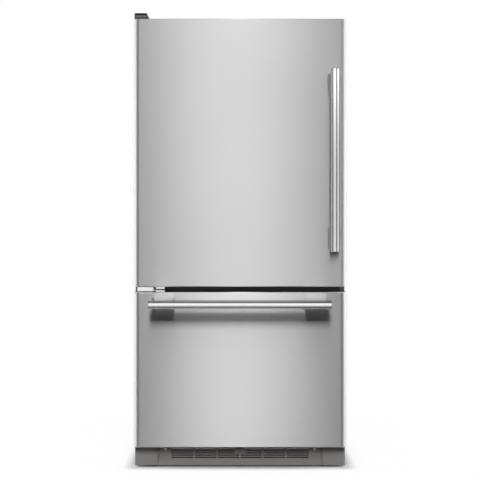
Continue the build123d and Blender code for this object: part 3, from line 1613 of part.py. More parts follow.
with BuildPart() as compressor:
    with BuildSketch(Plane.XY.offset(foot_plate_z)):
        with Locations(compressor_center):
            RectangleRounded(*compressor_foot, grommet_inset)
            with GridLocations(
                compressor_foot[0] - 2 * grommet_inset,
                compressor_foot[1] - 2 * grommet_inset,
                2,
                2,
            ):
                Circle(grommet_radius / 2, mode=Mode.SUBTRACT)
    extrude(amount=compressor_foot_sheet)
    shell_radius = compressor_radius - compressor_foot_sheet
    rod((*compressor_center, shell_z), (0, 0, 1), shell_radius, compressor_height)
    fillet(compressor.edges().filter_by(GeomType.CIRCLE).group_by(Axis.Z)[-1], compressor_radius / 2)
    seam_z = shell_z + compressor_height / 2
    rod((*compressor_center, seam_z), (0, 0, 1), compressor_radius, 2 * compressor_foot_sheet)
    box_x = compressor_x + compressor_radius - terminal_box_sunk
    box_z = shell_z + terminal_box_lift
    block(
        (box_x, box_x + terminal_box_size[0]),
        (machine_middle_y - terminal_box_size[1] / 2, machine_middle_y + terminal_box_size[1] / 2),
        (box_z, box_z + terminal_box_size[2]),
    )
save(compressor, "compressor")

with BuildPart() as rubber_grommets:
    for x in (-1, 1):
        for y in (-1, 1):
            place = (
                compressor_x + x * (compressor_foot[0] / 2 - grommet_inset),
                machine_middle_y + y * (compressor_foot[1] / 2 - grommet_inset),
                deck_top,
            )
            rod(place, (0, 0, 1), grommet_radius, grommet_height)
            rod(place, (0, 0, 1), grommet_radius / 2, grommet_height + 2 * compressor_foot_sheet)
    rod((gland_x, panel_back_y, gland_z), (0, 1, 0), gland_radius, bead_height)
    rod((gland_x, panel_back_y, gland_z), (0, -1, 0), gland_neck_radius, gland_depth)
    rod((gland_x, cabinet_back_y, gland_z), (0, -1, 0), gland_bore, gland_depth + bead_height, Mode.SUBTRACT)
save(rubber_grommets, "rubber_grommets")

pan_x = (condenser_x - drain_pan_size[0] / 2, condenser_x + drain_pan_size[0] / 2)
pan_y = (machine_middle_y - drain_pan_size[1] / 2, machine_middle_y + drain_pan_size[1] / 2)

with BuildPart() as drain_pan:
    block(pan_x, pan_y, (deck_top, deck_top + drain_pan_size[2]))
    fillet(drain_pan.edges().filter_by(Axis.Z), pan_corner)
    block(
        (pan_x[0] + pan_wall, pan_x[1] - pan_wall),
        (pan_y[0] + pan_wall, pan_y[1] - pan_wall),
        (deck_top + pan_wall, deck_top + drain_pan_size[2]),
        Mode.SUBTRACT,
    )
save(drain_pan, "drain_pan")

condenser_z = deck_top + drain_pan_size[2] + condenser_pitch
layer_half = (condenser_layers - 1) * condenser_layer_pitch / 2
condenser_top = condenser_z + condenser_runs * condenser_pitch
line_y = machine_front_y + condenser_pitch

layer_front_y = machine_middle_y - layer_half
layer_back_y = machine_middle_y + layer_half
shell_left_x = compressor_x - compressor_radius + compressor_foot_sheet
discharge_x = shell_left_x - 2 * condenser_pitch
discharge_z = seam_z + condenser_pitch
ceiling_z = machine_top - condenser_pitch
coil_exit_x = condenser_x + condenser_width / 2
coil_exit_z = condenser_z + (condenser_runs - 1) * condenser_pitch
coil_entry_x = condenser_x - condenser_width / 2
discharge_line = (
    (shell_left_x, machine_middle_y, discharge_z),
    (discharge_x, machine_middle_y, discharge_z),
    (discharge_x, line_y, discharge_z),
    (discharge_x, line_y, ceiling_z),
    (coil_exit_x + condenser_pitch, line_y, ceiling_z),
    (coil_exit_x + condenser_pitch, layer_front_y, ceiling_z),
    (coil_exit_x + condenser_pitch, layer_front_y, coil_exit_z),
    (coil_exit_x, layer_front_y, coil_exit_z),
)
liquid_line = (
    (coil_entry_x, layer_front_y, condenser_z),
    (coil_entry_x - condenser_pitch, layer_front_y, condenser_z),
    (coil_entry_x - condenser_pitch, line_y, condenser_z),
    (coil_entry_x + drier_length, line_y, condenser_z),
)

with BuildPart() as condenser_coil:
    for y in spread(layer_front_y, layer_back_y, condenser_layers):
        layer = Plane(origin=(condenser_x, y, condenser_z), x_dir=(1, 0, 0), z_dir=(0, -1, 0))
        add(serpentine(layer, condenser_width, condenser_pitch, condenser_runs, condenser_tube))
    for x in (-1, 1):
        plate_x = condenser_x + x * (condenser_width / 2 - condenser_pitch)
        block(
            (plate_x - fin_sheet, plate_x + fin_sheet),
            (layer_front_y - condenser_pitch / 2, layer_back_y + condenser_pitch / 2),
            (deck_top + pan_wall, condenser_top),
        )
    add(tube_along(discharge_line, condenser_pitch / 2, condenser_tube))
    add(tube_along(liquid_line, condenser_pitch / 2, condenser_tube))
    rod((coil_entry_x, line_y, condenser_z), (1, 0, 0), drier_radius, drier_length - condenser_pitch)
save(condenser_coil, "condenser_coil")

with BuildPart() as cabinet_screws:
    for (x, y, z), (dx, dy, dz) in hinge_screws + rail_screws + grille_screws + cover_screws:
        rod((x, y, z), (-dx, -dy, -dz), screw_head_radius, screw_head_height)
        head = (x - dx * screw_head_height, y - dy * screw_head_height, z - dz * screw_head_height)
        rod((x, y, z), (dx, dy, dz), screw_radius, screw_length)
        rod(head, (dx, dy, dz), socket_radius, socket_depth, Mode.SUBTRACT)
save(cabinet_screws, "cabinet_screws")
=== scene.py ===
"""Finishes, small mouldings, light and camera for a bottom freezer refrigerator."""

import math

import bmesh
import bpy
from bpy.props import FloatProperty, FloatVectorProperty, IntProperty, PointerProperty
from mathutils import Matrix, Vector


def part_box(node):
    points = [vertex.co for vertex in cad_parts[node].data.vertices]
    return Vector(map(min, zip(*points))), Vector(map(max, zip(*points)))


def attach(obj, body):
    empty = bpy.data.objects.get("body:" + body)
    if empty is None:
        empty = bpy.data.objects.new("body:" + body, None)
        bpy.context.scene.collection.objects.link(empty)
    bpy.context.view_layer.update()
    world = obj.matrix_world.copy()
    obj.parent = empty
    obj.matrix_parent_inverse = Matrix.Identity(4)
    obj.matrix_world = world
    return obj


bl_info = {
    "name": "Bottom Freezer Refrigerator",
    "version": (1, 0, 0),
    "blender": (4, 5, 0),
    "location": "3D View > Sidebar > Refrigerator",
    "description": "Dresses a refrigerator with its finishes, mouldings, studio and camera",
    "category": "Object",
}

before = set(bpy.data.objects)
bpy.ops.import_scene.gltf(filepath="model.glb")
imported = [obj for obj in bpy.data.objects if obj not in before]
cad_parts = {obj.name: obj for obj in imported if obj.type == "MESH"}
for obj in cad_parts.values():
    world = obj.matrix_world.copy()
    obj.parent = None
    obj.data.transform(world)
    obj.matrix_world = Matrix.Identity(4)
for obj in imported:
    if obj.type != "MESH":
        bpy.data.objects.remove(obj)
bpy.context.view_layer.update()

door_skins = ["upper_door_skin", "drawer_front_skin"]
door_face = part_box("upper_door_skin")[0].y


# ---- Settings --------------------------------------------------------------------------------
class RefrigeratorFinishes(bpy.types.PropertyGroup):
    """Colours and grain that someone would change"""

    steel: FloatVectorProperty(
        name="Door Steel", description="Colour of the doors' brushed skins",
        subtype="COLOR", size=3, min=0.0, max=1.0, default=(0.58, 0.58, 0.58),
    )
    handle: FloatVectorProperty(
        name="Handle Steel", description="Colour of the bar handles",
        subtype="COLOR", size=3, min=0.0, max=1.0, default=(0.6, 0.6, 0.6),
    )
    cabinet: FloatVectorProperty(
        name="Cabinet Paint", description="Colour of the cabinet's painted sides and top",
        subtype="COLOR", size=3, min=0.0, max=1.0, default=(0.19, 0.19, 0.195),
    )
    # Near black: painted shade, standing for the drawer's shadow on the top of the grille and the corner
    # covers
    trim_painted_shade: FloatVectorProperty(
        name="Base Painted Shade", description="Painted shade colour of the grille and the corner covers, full at their top",
        subtype="COLOR", size=3, min=0.0, max=1.0, default=(0.022, 0.02, 0.019),
    )
    # The base trim's lit colour, which fills its lower part below the painted shade
    trim_lit_colour: FloatVectorProperty(
        name="Base Lit Colour", description="Colour of the base's plastic below its painted shade",
        subtype="COLOR", size=3, min=0.0, max=1.0, default=(0.19, 0.181, 0.174),
    )
    liner: FloatVectorProperty(
        name="Liner", description="Colour of the inner walls of the compartments and the door",
        subtype="COLOR", size=3, min=0.0, max=1.0, default=(0.86, 0.86, 0.85),
    )
    grain_pitch: FloatProperty(
        name="Grain Pitch", description="Distance between the steel's brush lines",
        subtype="DISTANCE", unit="LENGTH", min=0.0002, max=0.01, default=0.0011,
    )


class RefrigeratorStudio(bpy.types.PropertyGroup):
    """Light and camera"""

    fill: FloatProperty(
        name="Fill", description="Strength of the even light around the refrigerator",
        min=0.0, max=2.0, default=0.06,
    )
    key_power: FloatProperty(
        name="Key Power", description="Power of the tall light in front, which the doors' others follow",
        subtype="POWER", unit="POWER", min=0.0, max=500.0, default=178.0,
    )
    front_power: FloatProperty(
        name="Front Power", description="Power of the soft light in front, which no reflection shows",
        subtype="POWER", unit="POWER", min=0.0, max=500.0, default=78.0,
    )
    side_power: FloatProperty(
        name="Side Power", description="Power of each softbox that the doors' edges reflect",
        subtype="POWER", unit="POWER", min=0.0, max=500.0, default=60.0,
    )
    fill_power: FloatProperty(
        name="Fill Power", description="Power of each plain light at the sides and the back",
        subtype="POWER", unit="POWER", min=0.0, max=500.0, default=76.0,
    )
    top_power: FloatProperty(
        name="Top Power", description="Power of the plain light above",
        subtype="POWER", unit="POWER", min=0.0, max=500.0, default=60.0,
    )
    camera_distance: FloatProperty(
        name="Camera Distance", description="From the camera to the doors' faces",
        subtype="DISTANCE", unit="LENGTH", min=1.0, max=20.0, default=3.5,
    )
    camera_height: FloatProperty(
        name="Camera Height", description="Height of the camera above the floor",
        subtype="DISTANCE", unit="LENGTH", min=0.1, max=3.0, default=0.892,
    )
    focal_length: FloatProperty(
        name="Focal Length", description="The camera's focal length",
        subtype="DISTANCE_CAMERA", unit="CAMERA", min=20.0, max=200.0, default=67.83,
    )


class RefrigeratorMouldings(bpy.types.PropertyGroup):
    """Sizes of the small mouldings"""

    dial_marks: IntProperty(
        name="Dial Marks", description="How many marks stand round each control dial",
        min=3, max=15, default=9,
    )
    seam_width: FloatProperty(
        name="Seam Width", description="Width of the fine bead round each control knob",
        subtype="DISTANCE", unit="LENGTH", min=0.0003, max=0.005, default=0.0012,
    )
    face_margin: FloatProperty(
        name="Face Margin", description="From the hinge cover's outer end to the raised face on its front",
        subtype="DISTANCE", unit="LENGTH", min=0.001, max=0.01, default=0.0025,
    )
    face_length: FloatProperty(
        name="Face Length", description="From the hinge cover's outer end to the far end of the raised face",
        subtype="DISTANCE", unit="LENGTH", min=0.02, max=0.055, default=0.051,
    )
    face_width: FloatProperty(
        name="Face Width", description="Height of the raised face on the hinge cover's front",
        subtype="DISTANCE", unit="LENGTH", min=0.004, max=0.015, default=0.0092,
    )
    face_height: FloatProperty(
        name="Face Place", description="From the hinge cover's foot to the middle of the raised face",
        subtype="DISTANCE", unit="LENGTH", min=0.008, max=0.02, default=0.0152,
    )


# ---- Nodes -----------------------------------------------------------------------------------
def add_node(tree, kind, inputs=(), **settings):
    """A node with its settings, whose inputs are linked to sockets or set to values."""
    node = tree.nodes.new(kind)
    for name, value in settings.items():
        setattr(node, name, value)
    for name, value in dict(inputs).items():
        if isinstance(value, bpy.types.NodeSocket):
            tree.links.new(value, node.inputs[name])
        else:
            node.inputs[name].default_value = value
    return node


def maths(tree, operation, *values):
    """The result of a sum over numbers and sockets."""
    return add_node(tree, "ShaderNodeMath", dict(enumerate(values)), operation=operation).outputs[0]


def vector_maths(tree, operation, *values):
    """The vector that a sum over vectors and sockets gives."""
    return add_node(tree, "ShaderNodeVectorMath", dict(enumerate(values)), operation=operation).outputs[0]


def object_place(tree):
    """Where a point lies in its object's own coordinates."""
    return add_node(tree, "ShaderNodeTexCoord").outputs["Object"]


def noise(tree, place, scale, detail, roughness):
    """Cloudy values around 0.5."""
    values = {"Vector": place, "Scale": scale, "Detail": detail, "Roughness": roughness}
    return add_node(tree, "ShaderNodeTexNoise", values).outputs["Fac"]


def shifted(tree, value, amount, centre):
    """centre + (value - 0.5) * amount."""
    return maths(tree, "MULTIPLY_ADD", maths(tree, "SUBTRACT", value, 0.5), amount, centre)


def tinted(tree, colour, value, amount):
    """A colour made lighter and darker by a value around 0.5."""
    inputs = {0: colour, "Scale": shifted(tree, value, amount, 1.0)}
    return add_node(tree, "ShaderNodeVectorMath", inputs, operation="SCALE").outputs[0]


def mixed(tree, share, first, second):
    """The first colour with a share of the second."""
    inputs = {"Factor": share, "A": first, "B": second}
    return add_node(tree, "ShaderNodeMix", inputs, data_type="RGBA").outputs["Result"]


def profile(tree, value, stops):
    """A value read off a line through (place, strength) points, and held beyond its ends."""
    low, high = stops[0][0], stops[-1][0]
    spread = add_node(tree, "ShaderNodeMapRange", {"Value": value, "From Min": low, "From Max": high})
    ramp = add_node(tree, "ShaderNodeValToRGB", {0: spread.outputs["Result"]})
    elements = ramp.color_ramp.elements
    while len(elements) < len(stops):
        elements.new(0.5)
    for element, (place, strength) in zip(elements, stops):
        element.position = (place - low) / (high - low)
        element.color = (strength, strength, strength, 1.0)
    return ramp.outputs["Color"]


# ---- Shared effects, as node groups ----------------------------------------------------------
SURFACE_OUTPUTS = [
    ("Color", "NodeSocketColor"), ("Roughness", "NodeSocketFloat"), ("Height", "NodeSocketFloat"),
]


def new_group(name, inputs, outputs):
    """A node group with named inputs and outputs, and the sockets that bring its inputs in."""
    tree = bpy.data.node_groups.new(name, "ShaderNodeTree")
    for label, kind, value in inputs:
        socket = tree.interface.new_socket(name=label, in_out="INPUT", socket_type=kind)
        socket.default_value = value
    for label, kind in outputs:
        tree.interface.new_socket(name=label, in_out="OUTPUT", socket_type=kind)
    return tree, tree.nodes.new("NodeGroupInput").outputs


def brushed_group():
    """Brush lines along one direction, with slow cloudy changes of gloss."""
    line_share, cloud_share = 0.35, 0.65
    tree, given = new_group(
        "Brushed Grain",
        [
            ("Base", "NodeSocketColor", (0.6, 0.6, 0.6, 1.0)),
            ("Strokes", "NodeSocketVector", (3.0, 3.0, 900.0)),
            ("Streak", "NodeSocketFloat", 0.06),
            ("Roughness", "NodeSocketFloat", 0.32),
            ("Roughness Change", "NodeSocketFloat", 0.08),
        ],
        SURFACE_OUTPUTS,
    )
    place = object_place(tree)
    stroke = vector_maths(tree, "MULTIPLY", place, given["Strokes"])
    lines = noise(tree, stroke, scale=1.0, detail=3.0, roughness=0.6)
    cloud = noise(tree, place, scale=2.3, detail=4.0, roughness=0.55)
    both = maths(tree, "MULTIPLY_ADD", lines, line_share, maths(tree, "MULTIPLY", cloud, cloud_share))
    add_node(tree, "NodeGroupOutput", {
        "Color": tinted(tree, given["Base"], lines, given["Streak"]),
        "Roughness": shifted(tree, both, given["Roughness Change"], given["Roughness"]),
        "Height": lines,
    })
    return tree


def moulded_group():
    """The fine pebbled skin of moulded plastic, with a faint mottle."""
    tree, given = new_group(
        "Moulded Skin",
        [
            ("Base", "NodeSocketColor", (0.2, 0.2, 0.2, 1.0)),
            ("Pebbles", "NodeSocketFloat", 1400.0),
            ("Mottle", "NodeSocketFloat", 0.06),
            ("Roughness", "NodeSocketFloat", 0.5),
            ("Roughness Change", "NodeSocketFloat", 0.1),
        ],
        SURFACE_OUTPUTS,
    )
    place = object_place(tree)
    pebbles = {"Vector": place, "Scale": given["Pebbles"]}
    cells = add_node(tree, "ShaderNodeTexVoronoi", pebbles, feature="SMOOTH_F1")
    cloud = noise(tree, place, scale=38.0, detail=5.0, roughness=0.6)
    add_node(tree, "NodeGroupOutput", {
        "Color": tinted(tree, given["Base"], cloud, given["Mottle"]),
        "Roughness": shifted(tree, cloud, given["Roughness Change"], given["Roughness"]),
        "Height": cells.outputs["Distance"],
    })
    return tree


def sprayed_group():
    """Sprayed paint on sheet: a fine orange peel and a faint unevenness."""
    tree, given = new_group(
        "Sprayed Sheet",
        [
            ("Base", "NodeSocketColor", (0.2, 0.2, 0.2, 1.0)),
            ("Peel", "NodeSocketFloat", 420.0),
            ("Unevenness", "NodeSocketFloat", 0.05),
            ("Roughness", "NodeSocketFloat", 0.4),
            ("Roughness Change", "NodeSocketFloat", 0.08),
        ],
        SURFACE_OUTPUTS,
    )
    place = object_place(tree)
    cloud = noise(tree, place, scale=6.0, detail=3.0, roughness=0.5)
    add_node(tree, "NodeGroupOutput", {
        "Color": tinted(tree, given["Base"], cloud, given["Unevenness"]),
        "Roughness": shifted(tree, cloud, given["Roughness Change"], given["Roughness"]),
        "Height": noise(tree, place, scale=given["Peel"], detail=2.0, roughness=0.5),
    })
    return tree


def dust_and_shade_group():
    """Uneven dust on the faces that look up, and below a height a change to the Dust colour, which on the
    base trim leaves a painted shade above that height.
    """
    least_upward = 0.35
    shade_edge_fade = 0.024
    tree, given = new_group(
        "Dust and Painted Shade",
        [
            ("Base", "NodeSocketColor", (0.2, 0.2, 0.2, 1.0)),
            ("Dust", "NodeSocketColor", (0.42, 0.4, 0.37, 1.0)),
            ("Amount", "NodeSocketFloat", 0.25),
            ("Shade Edge", "NodeSocketFloat", 0.0),
            ("Lit Below Edge", "NodeSocketFloat", 0.0),
        ],
        [("Color", "NodeSocketColor")],
    )
    place = object_place(tree)
    normal = add_node(tree, "ShaderNodeNewGeometry").outputs["Normal"]
    facing = add_node(tree, "ShaderNodeSeparateXYZ", {0: normal}).outputs["Z"]
    upward = add_node(
        tree, "ShaderNodeMapRange", {"Value": facing, "From Min": least_upward, "From Max": 1.0},
    ).outputs["Result"]
    patches = noise(tree, place, scale=60.0, detail=6.0, roughness=0.7)
    dusty = maths(tree, "MULTIPLY", maths(tree, "MULTIPLY", upward, patches), given["Amount"])
    # Painted shade: above the edge the given colour stays, and below it the colour fades to the Dust input,
    # which on the base trim is the trim's lit colour
    height = add_node(tree, "ShaderNodeSeparateXYZ", {0: place}).outputs["Z"]
    below = maths(tree, "SUBTRACT", given["Shade Edge"], height)
    fade = add_node(
        tree, "ShaderNodeMapRange", {"Value": below, "From Min": 0.0, "From Max": shade_edge_fade},
        interpolation_type="SMOOTHSTEP",
    ).outputs["Result"]
    lit_share = maths(tree, "MULTIPLY", fade, given["Lit Below Edge"])
    dusted = mixed(tree, dusty, given["Base"], given["Dust"])
    add_node(tree, "NodeGroupOutput", {"Color": mixed(tree, lit_share, dusted, given["Dust"])})
    return tree


effect_makers = {
    "brushed": brushed_group,
    "moulded": moulded_group,
    "sprayed": sprayed_group,
    "dust": dust_and_shade_group,
}
effects = {}


def effect(name):
    """A shared node group, built the first time it is asked for."""
    if name not in effects:
        effects[name] = effect_makers[name]()
    return effects[name]


# ---- Finishes --------------------------------------------------------------------------------
SHADER_SOCKETS = {
    "metallic": "Metallic",
    "anisotropy": "Anisotropic",
    "turn": "Anisotropic Rotation",
    "specular": "Specular IOR Level",
    "transmission": "Transmission Weight",
    "ior": "IOR",
}

# Brush strokes per metre along the grain, and a turn of the gloss by 90 degrees as a share of a whole one
ALONG_GRAIN = 3.0
QUARTER_TURN = 0.25


def grey(level):
    """A neutral colour."""
    return (level, level, level)


def new_material(name):
    """A material with an empty node tree, and that tree."""
    material = bpy.data.materials.new(name)
    material.use_nodes = True
    material.node_tree.nodes.clear()
    return material, material.node_tree


def finish(name, kind, colour, values, bump, dust=0.0, scuffs=(), **shader_values):
    """A material: one shared effect into a Principled shader. bump is the relief's strength and depth."""
    material, tree = new_material(name)
    look_inputs = {"Base": (*colour, 1.0), **values}
    look = add_node(tree, "ShaderNodeGroup", look_inputs, node_tree=effect(kind)).outputs
    tone = look["Color"]
    # The painted shade inputs keep a painted shade on the top of a piece and turn it to its lit colour below
    if dust > 0.0:
        layer_inputs = {"Base": tone, "Amount": dust, **dict(scuffs)}
        tone = add_node(tree, "ShaderNodeGroup", layer_inputs, node_tree=effect("dust")).outputs["Color"]
    strength, depth = bump
    relief = add_node(
        tree, "ShaderNodeBump", {"Height": look["Height"], "Strength": strength, "Distance": depth},
    )
    shader = add_node(tree, "ShaderNodeBsdfPrincipled", {
        "Base Color": tone,
        "Roughness": look["Roughness"],
        "Normal": relief.outputs["Normal"],
        **{SHADER_SOCKETS[key]: value for key, value in shader_values.items()},
    })
    add_node(tree, "ShaderNodeOutputMaterial", {0: shader.outputs[0]})
    return material


def brushed(name, colour, strokes, roughness, streak=0.05, anisotropy=0.7, turn=0.0):
    """Brushed steel whose lines run along the axis with the smallest of strokes."""
    values = {"Strokes": strokes, "Streak": streak, "Roughness": roughness, "Roughness Change": 0.06}
    bump = (0.12, 0.00004)
    return finish(name, "brushed", colour, values, bump, metallic=1.0, anisotropy=anisotropy, turn=turn)


def moulded(name, colour, roughness, pebbles=1400.0, mottle=0.06, bump=(0.25, 0.00008), **more):
    """Moulded plastic."""
    values = {"Pebbles": pebbles, "Mottle": mottle, "Roughness": roughness}
    return finish(name, "moulded", colour, values, bump, **more)


def sprayed(name, colour, roughness, peel=420.0, unevenness=0.05, **more):
    """Painted or coated sheet metal."""
    values = {"Peel": peel, "Unevenness": unevenness, "Roughness": roughness}
    bump = (0.15, 0.0001)
    return finish(name, "sprayed", colour, values, bump, **more)


def dress(finishes):
    """Give CAD nodes their finish, from pairs of a material and the names of its nodes."""
    for material, names in finishes:
        for name in names:
            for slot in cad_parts[name].material_slots:
                slot.material = material


# ---- Shapes for the small mouldings ----------------------------------------------------------
def moulding(name, draw, body, material):
    """A piece whose mesh a function draws, riding on a body."""
    shape = bmesh.new()
    draw(shape)
    bmesh.ops.recalc_face_normals(shape, faces=shape.faces)
    mesh = bpy.data.meshes.new(name)
    shape.to_mesh(mesh)
    shape.free()
    piece = bpy.data.objects.new(name, mesh)
    bpy.context.scene.collection.objects.link(piece)
    mesh.materials.append(material)
    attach(piece, body)
    return piece


def ring(shape, centre, axis_x, axis_y, radius, width, height):
    """A low half-round bead around a centre, in the plane of two axes."""
    normal = axis_x.cross(axis_y)
    points_around, points_across = 48, 5
    rows = []
    for i in range(points_around):
        angle = math.tau * i / points_around
        out = axis_x * math.cos(angle) + axis_y * math.sin(angle)
        row = []
        for k in range(points_across):
            across = math.pi * k / (points_across - 1)
            reach = radius - math.cos(across) * width / 2
            row.append(shape.verts.new(centre + out * reach + normal * math.sin(across) * height))
        rows.append(row)
    for i in range(points_around):
        a, b = rows[i], rows[(i + 1) % points_around]
        for k in range(points_across - 1):
            shape.faces.new((a[k], a[k + 1], b[k + 1], b[k]))


def join_rows(shape, lower, upper):
    """Walls between two closed rows of as many points."""
    for i in range(len(lower)):
        j = (i + 1) % len(lower)
        shape.faces.new((lower[i], lower[j], upper[j], upper[i]))


def low_bar(shape, start, end, side, up, width, height):
    """A short raised mark from start to end with bevelled top edges."""
    half, top = side * width / 2, side * width / 4
    foot = [start - half, start + half, end + half, end - half]
    head = [start - top, start + top, end + top, end - top]
    lower = [shape.verts.new(point) for point in foot]
    upper = [shape.verts.new(point + up * height) for point in head]
    shape.faces.new(upper)
    join_rows(shape, lower, upper)


def raised_face(shape, outline, out, height, bevel):
    """A low plate over an outline, whose top edge is drawn in by the bevel."""
    lip_share = 0.6
    middle = sum(outline, Vector()) / len(outline)
    foot = [shape.verts.new(point) for point in outline]
    lip = [shape.verts.new(point + out * height * lip_share) for point in outline]
    top = []
    for point in outline:
        inward = (middle - point).normalized() * bevel
        top.append(shape.verts.new(point + inward + out * height))
    join_rows(shape, foot, lip)
    join_rows(shape, lip, top)
    shape.faces.new(top)


# ---- Operators -------------------------------------------------------------------------------
class REFRIGERATOR_OT_doors(bpy.types.Operator):
    """Brushed skins, end caps, foam, inner panels and gaskets of the door and the drawer front"""

    bl_idname = "refrigerator.doors"
    bl_label = "Door and Drawer Front"

    def execute(self, context):
        colours = context.scene.refrigerator_finishes
        pitch = 1.0 / colours.grain_pitch
        skin = brushed(
            "door_steel", colours.steel, (ALONG_GRAIN, pitch, pitch), 0.55,
            anisotropy=1.0, turn=QUARTER_TURN,
        )
        cap = moulded("door_cap", grey(0.025), 0.7, specular=0.1)
        panel = moulded(
            "inner_panel", colours.liner, 0.22, pebbles=300.0, mottle=0.02, bump=(0.05, 0.0001),
        )
        vinyl = moulded("gasket_vinyl", (0.3, 0.3, 0.31), 0.55, pebbles=2500.0)
        foam = moulded(
            "insulation_foam", (0.8, 0.7, 0.42), 0.85, pebbles=900.0, mottle=0.25, bump=(0.7, 0.0006),
        )
        dress([
            (skin, door_skins),
            (cap, ["upper_door_caps", "drawer_front_caps"]),
            (panel, ["upper_door_liner", "drawer_front_liner"]),
            (vinyl, ["upper_door_gasket", "drawer_gasket"]),
            (foam, ["upper_door_foam", "drawer_front_foam", "cabinet_foam"]),
        ])
        return {"FINISHED"}


class REFRIGERATOR_OT_handles(bpy.types.Operator):
    """Brushed bar handles and their standoffs"""

    bl_idname = "refrigerator.handles"
    bl_label = "Handles"

    def execute(self, context):
        colours = context.scene.refrigerator_finishes
        pitch = 1.0 / colours.grain_pitch
        upright = brushed("upright_bar_steel", colours.handle, (pitch, pitch, ALONG_GRAIN), 0.2)
        level = brushed(
            "level_bar_steel", colours.handle, (ALONG_GRAIN, pitch, pitch), 0.2, turn=QUARTER_TURN,
        )
        satin = sprayed("standoff_satin", grey(0.88), 0.14, metallic=1.0)
        dress([
            (upright, ["upper_handle_bar"]),
            (level, ["drawer_handle_bar"]),
            (satin, ["upper_handle_standoffs", "drawer_handle_standoffs"]),
        ])
        return {"FINISHED"}


class REFRIGERATOR_OT_cabinet(bpy.types.Operator):
    """Painted shell, back panel, deck, roller brackets and the rail between the compartments"""

    bl_idname = "refrigerator.cabinet"
    bl_label = "Cabinet"

    def execute(self, context):
        colours = context.scene.refrigerator_finishes
        paint = sprayed("cabinet_paint", colours.cabinet, 0.42, dust=0.1)
        zinc = sprayed("zinc_sheet", (0.5, 0.51, 0.52), 0.38, peel=30.0, unevenness=0.2, metallic=0.9)
        # Near black: partly the rail's and deck's dark paint, and partly painted shade for the gap between
        # the doors and the space behind the louvres
        rail = sprayed("rail_paint", grey(0.018), 0.45)
        dress([
            (paint, ["cabinet_wrapper"]),
            (zinc, ["back_panel", "machine_cover", "roller_brackets"]),
            (rail, ["center_rail", "base_deck"]),
        ])
        return {"FINISHED"}


class REFRIGERATOR_OT_hinges(bpy.types.Operator):
    """Hinges, their covers with the top one's raised face, the door stop and the screws"""

    bl_idname = "refrigerator.hinges"
    bl_label = "Hinges"

    def execute(self, context):
        plate = sprayed("hinge_steel", grey(0.55), 0.35, metallic=0.9)
        black = moulded("hinge_cover_plastic", grey(0.006), 0.35, pebbles=1800.0, specular=0.1)
        # Lighter grey than the cover's black plastic: a painted highlight on the cover's raised face
        face = moulded("hinge_face_painted_highlight", grey(0.11), 0.4, pebbles=1800.0, specular=0.1)
        silver = sprayed("center_cover_silver", grey(0.68), 0.3, metallic=0.3)
        screw = sprayed("screw_steel", grey(0.2), 0.4, metallic=1.0, unevenness=0.15)
        dress([
            (plate, ["door_hinges", "door_stop_bracket"]),
            (black, ["top_hinge_cover"]),
            (silver, ["center_hinge_cover"]),
            (screw, ["cabinet_screws"]),
        ])
        self.cover_face(context.scene.refrigerator_mouldings, face)
        return {"FINISHED"}

    @staticmethod
    def cover_face(sizes, material):
        """A raised face on the hinge cover's front, square at its outer end and round at the other."""
        relief, bevel = 0.0005, 0.0008
        arc_steps = 12
        radius = sizes.face_width / 2
        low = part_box("top_hinge_cover")[0]
        start, end = low.x + sizes.face_margin, low.x + sizes.face_length
        middle_z = low.z + sizes.face_height

        def draw(shape):
            outline = [Vector((start, low.y, middle_z - radius))]
            for i in range(arc_steps + 1):
                angle = math.radians(-90 + 180 * i / arc_steps)
                x, z = end - radius + radius * math.cos(angle), middle_z + radius * math.sin(angle)
                outline.append(Vector((x, low.y, z)))
            outline.append(Vector((start, low.y, middle_z + radius)))
            raised_face(shape, outline, Vector((0, -1, 0)), relief, bevel)

        moulding("hinge_cover_face", draw, "cabinet", material)


class REFRIGERATOR_OT_base(bpy.types.Operator):
    """Base grille, corner covers, levelling feet and rollers"""

    bl_idname = "refrigerator.base"
    bl_label = "Base"

    def execute(self, context):
        colours = context.scene.refrigerator_finishes
        # Painted shade for the drawer's shadow on the base trim: near black at the top, fading to the trim's
        # lit colour from a strip under the grille's top downward
        full_shade_strip = 0.011
        scuffs = {
            "Dust": (*colours.trim_lit_colour, 1.0),
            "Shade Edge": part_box("base_grille")[1].z - full_shade_strip,
            "Lit Below Edge": 0.9,
        }
        grille = moulded("grille_plastic", colours.trim_painted_shade, 0.5, dust=0.3, scuffs=scuffs)
        corner = moulded("corner_plastic", colours.trim_painted_shade, 0.45, dust=0.2, scuffs=scuffs)
        foot = moulded("foot_plastic", grey(0.02), 0.55, dust=0.3)
        wheel = moulded("wheel_plastic", grey(0.05), 0.5, dust=0.3)
        dress([
            (grille, ["base_grille"]),
            (corner, ["corner_covers"]),
            (foot, ["levelling_foot_left", "levelling_foot_right"]),
            (wheel, ["front_rollers", "rear_rollers"]),
        ])
        return {"FINISHED"}


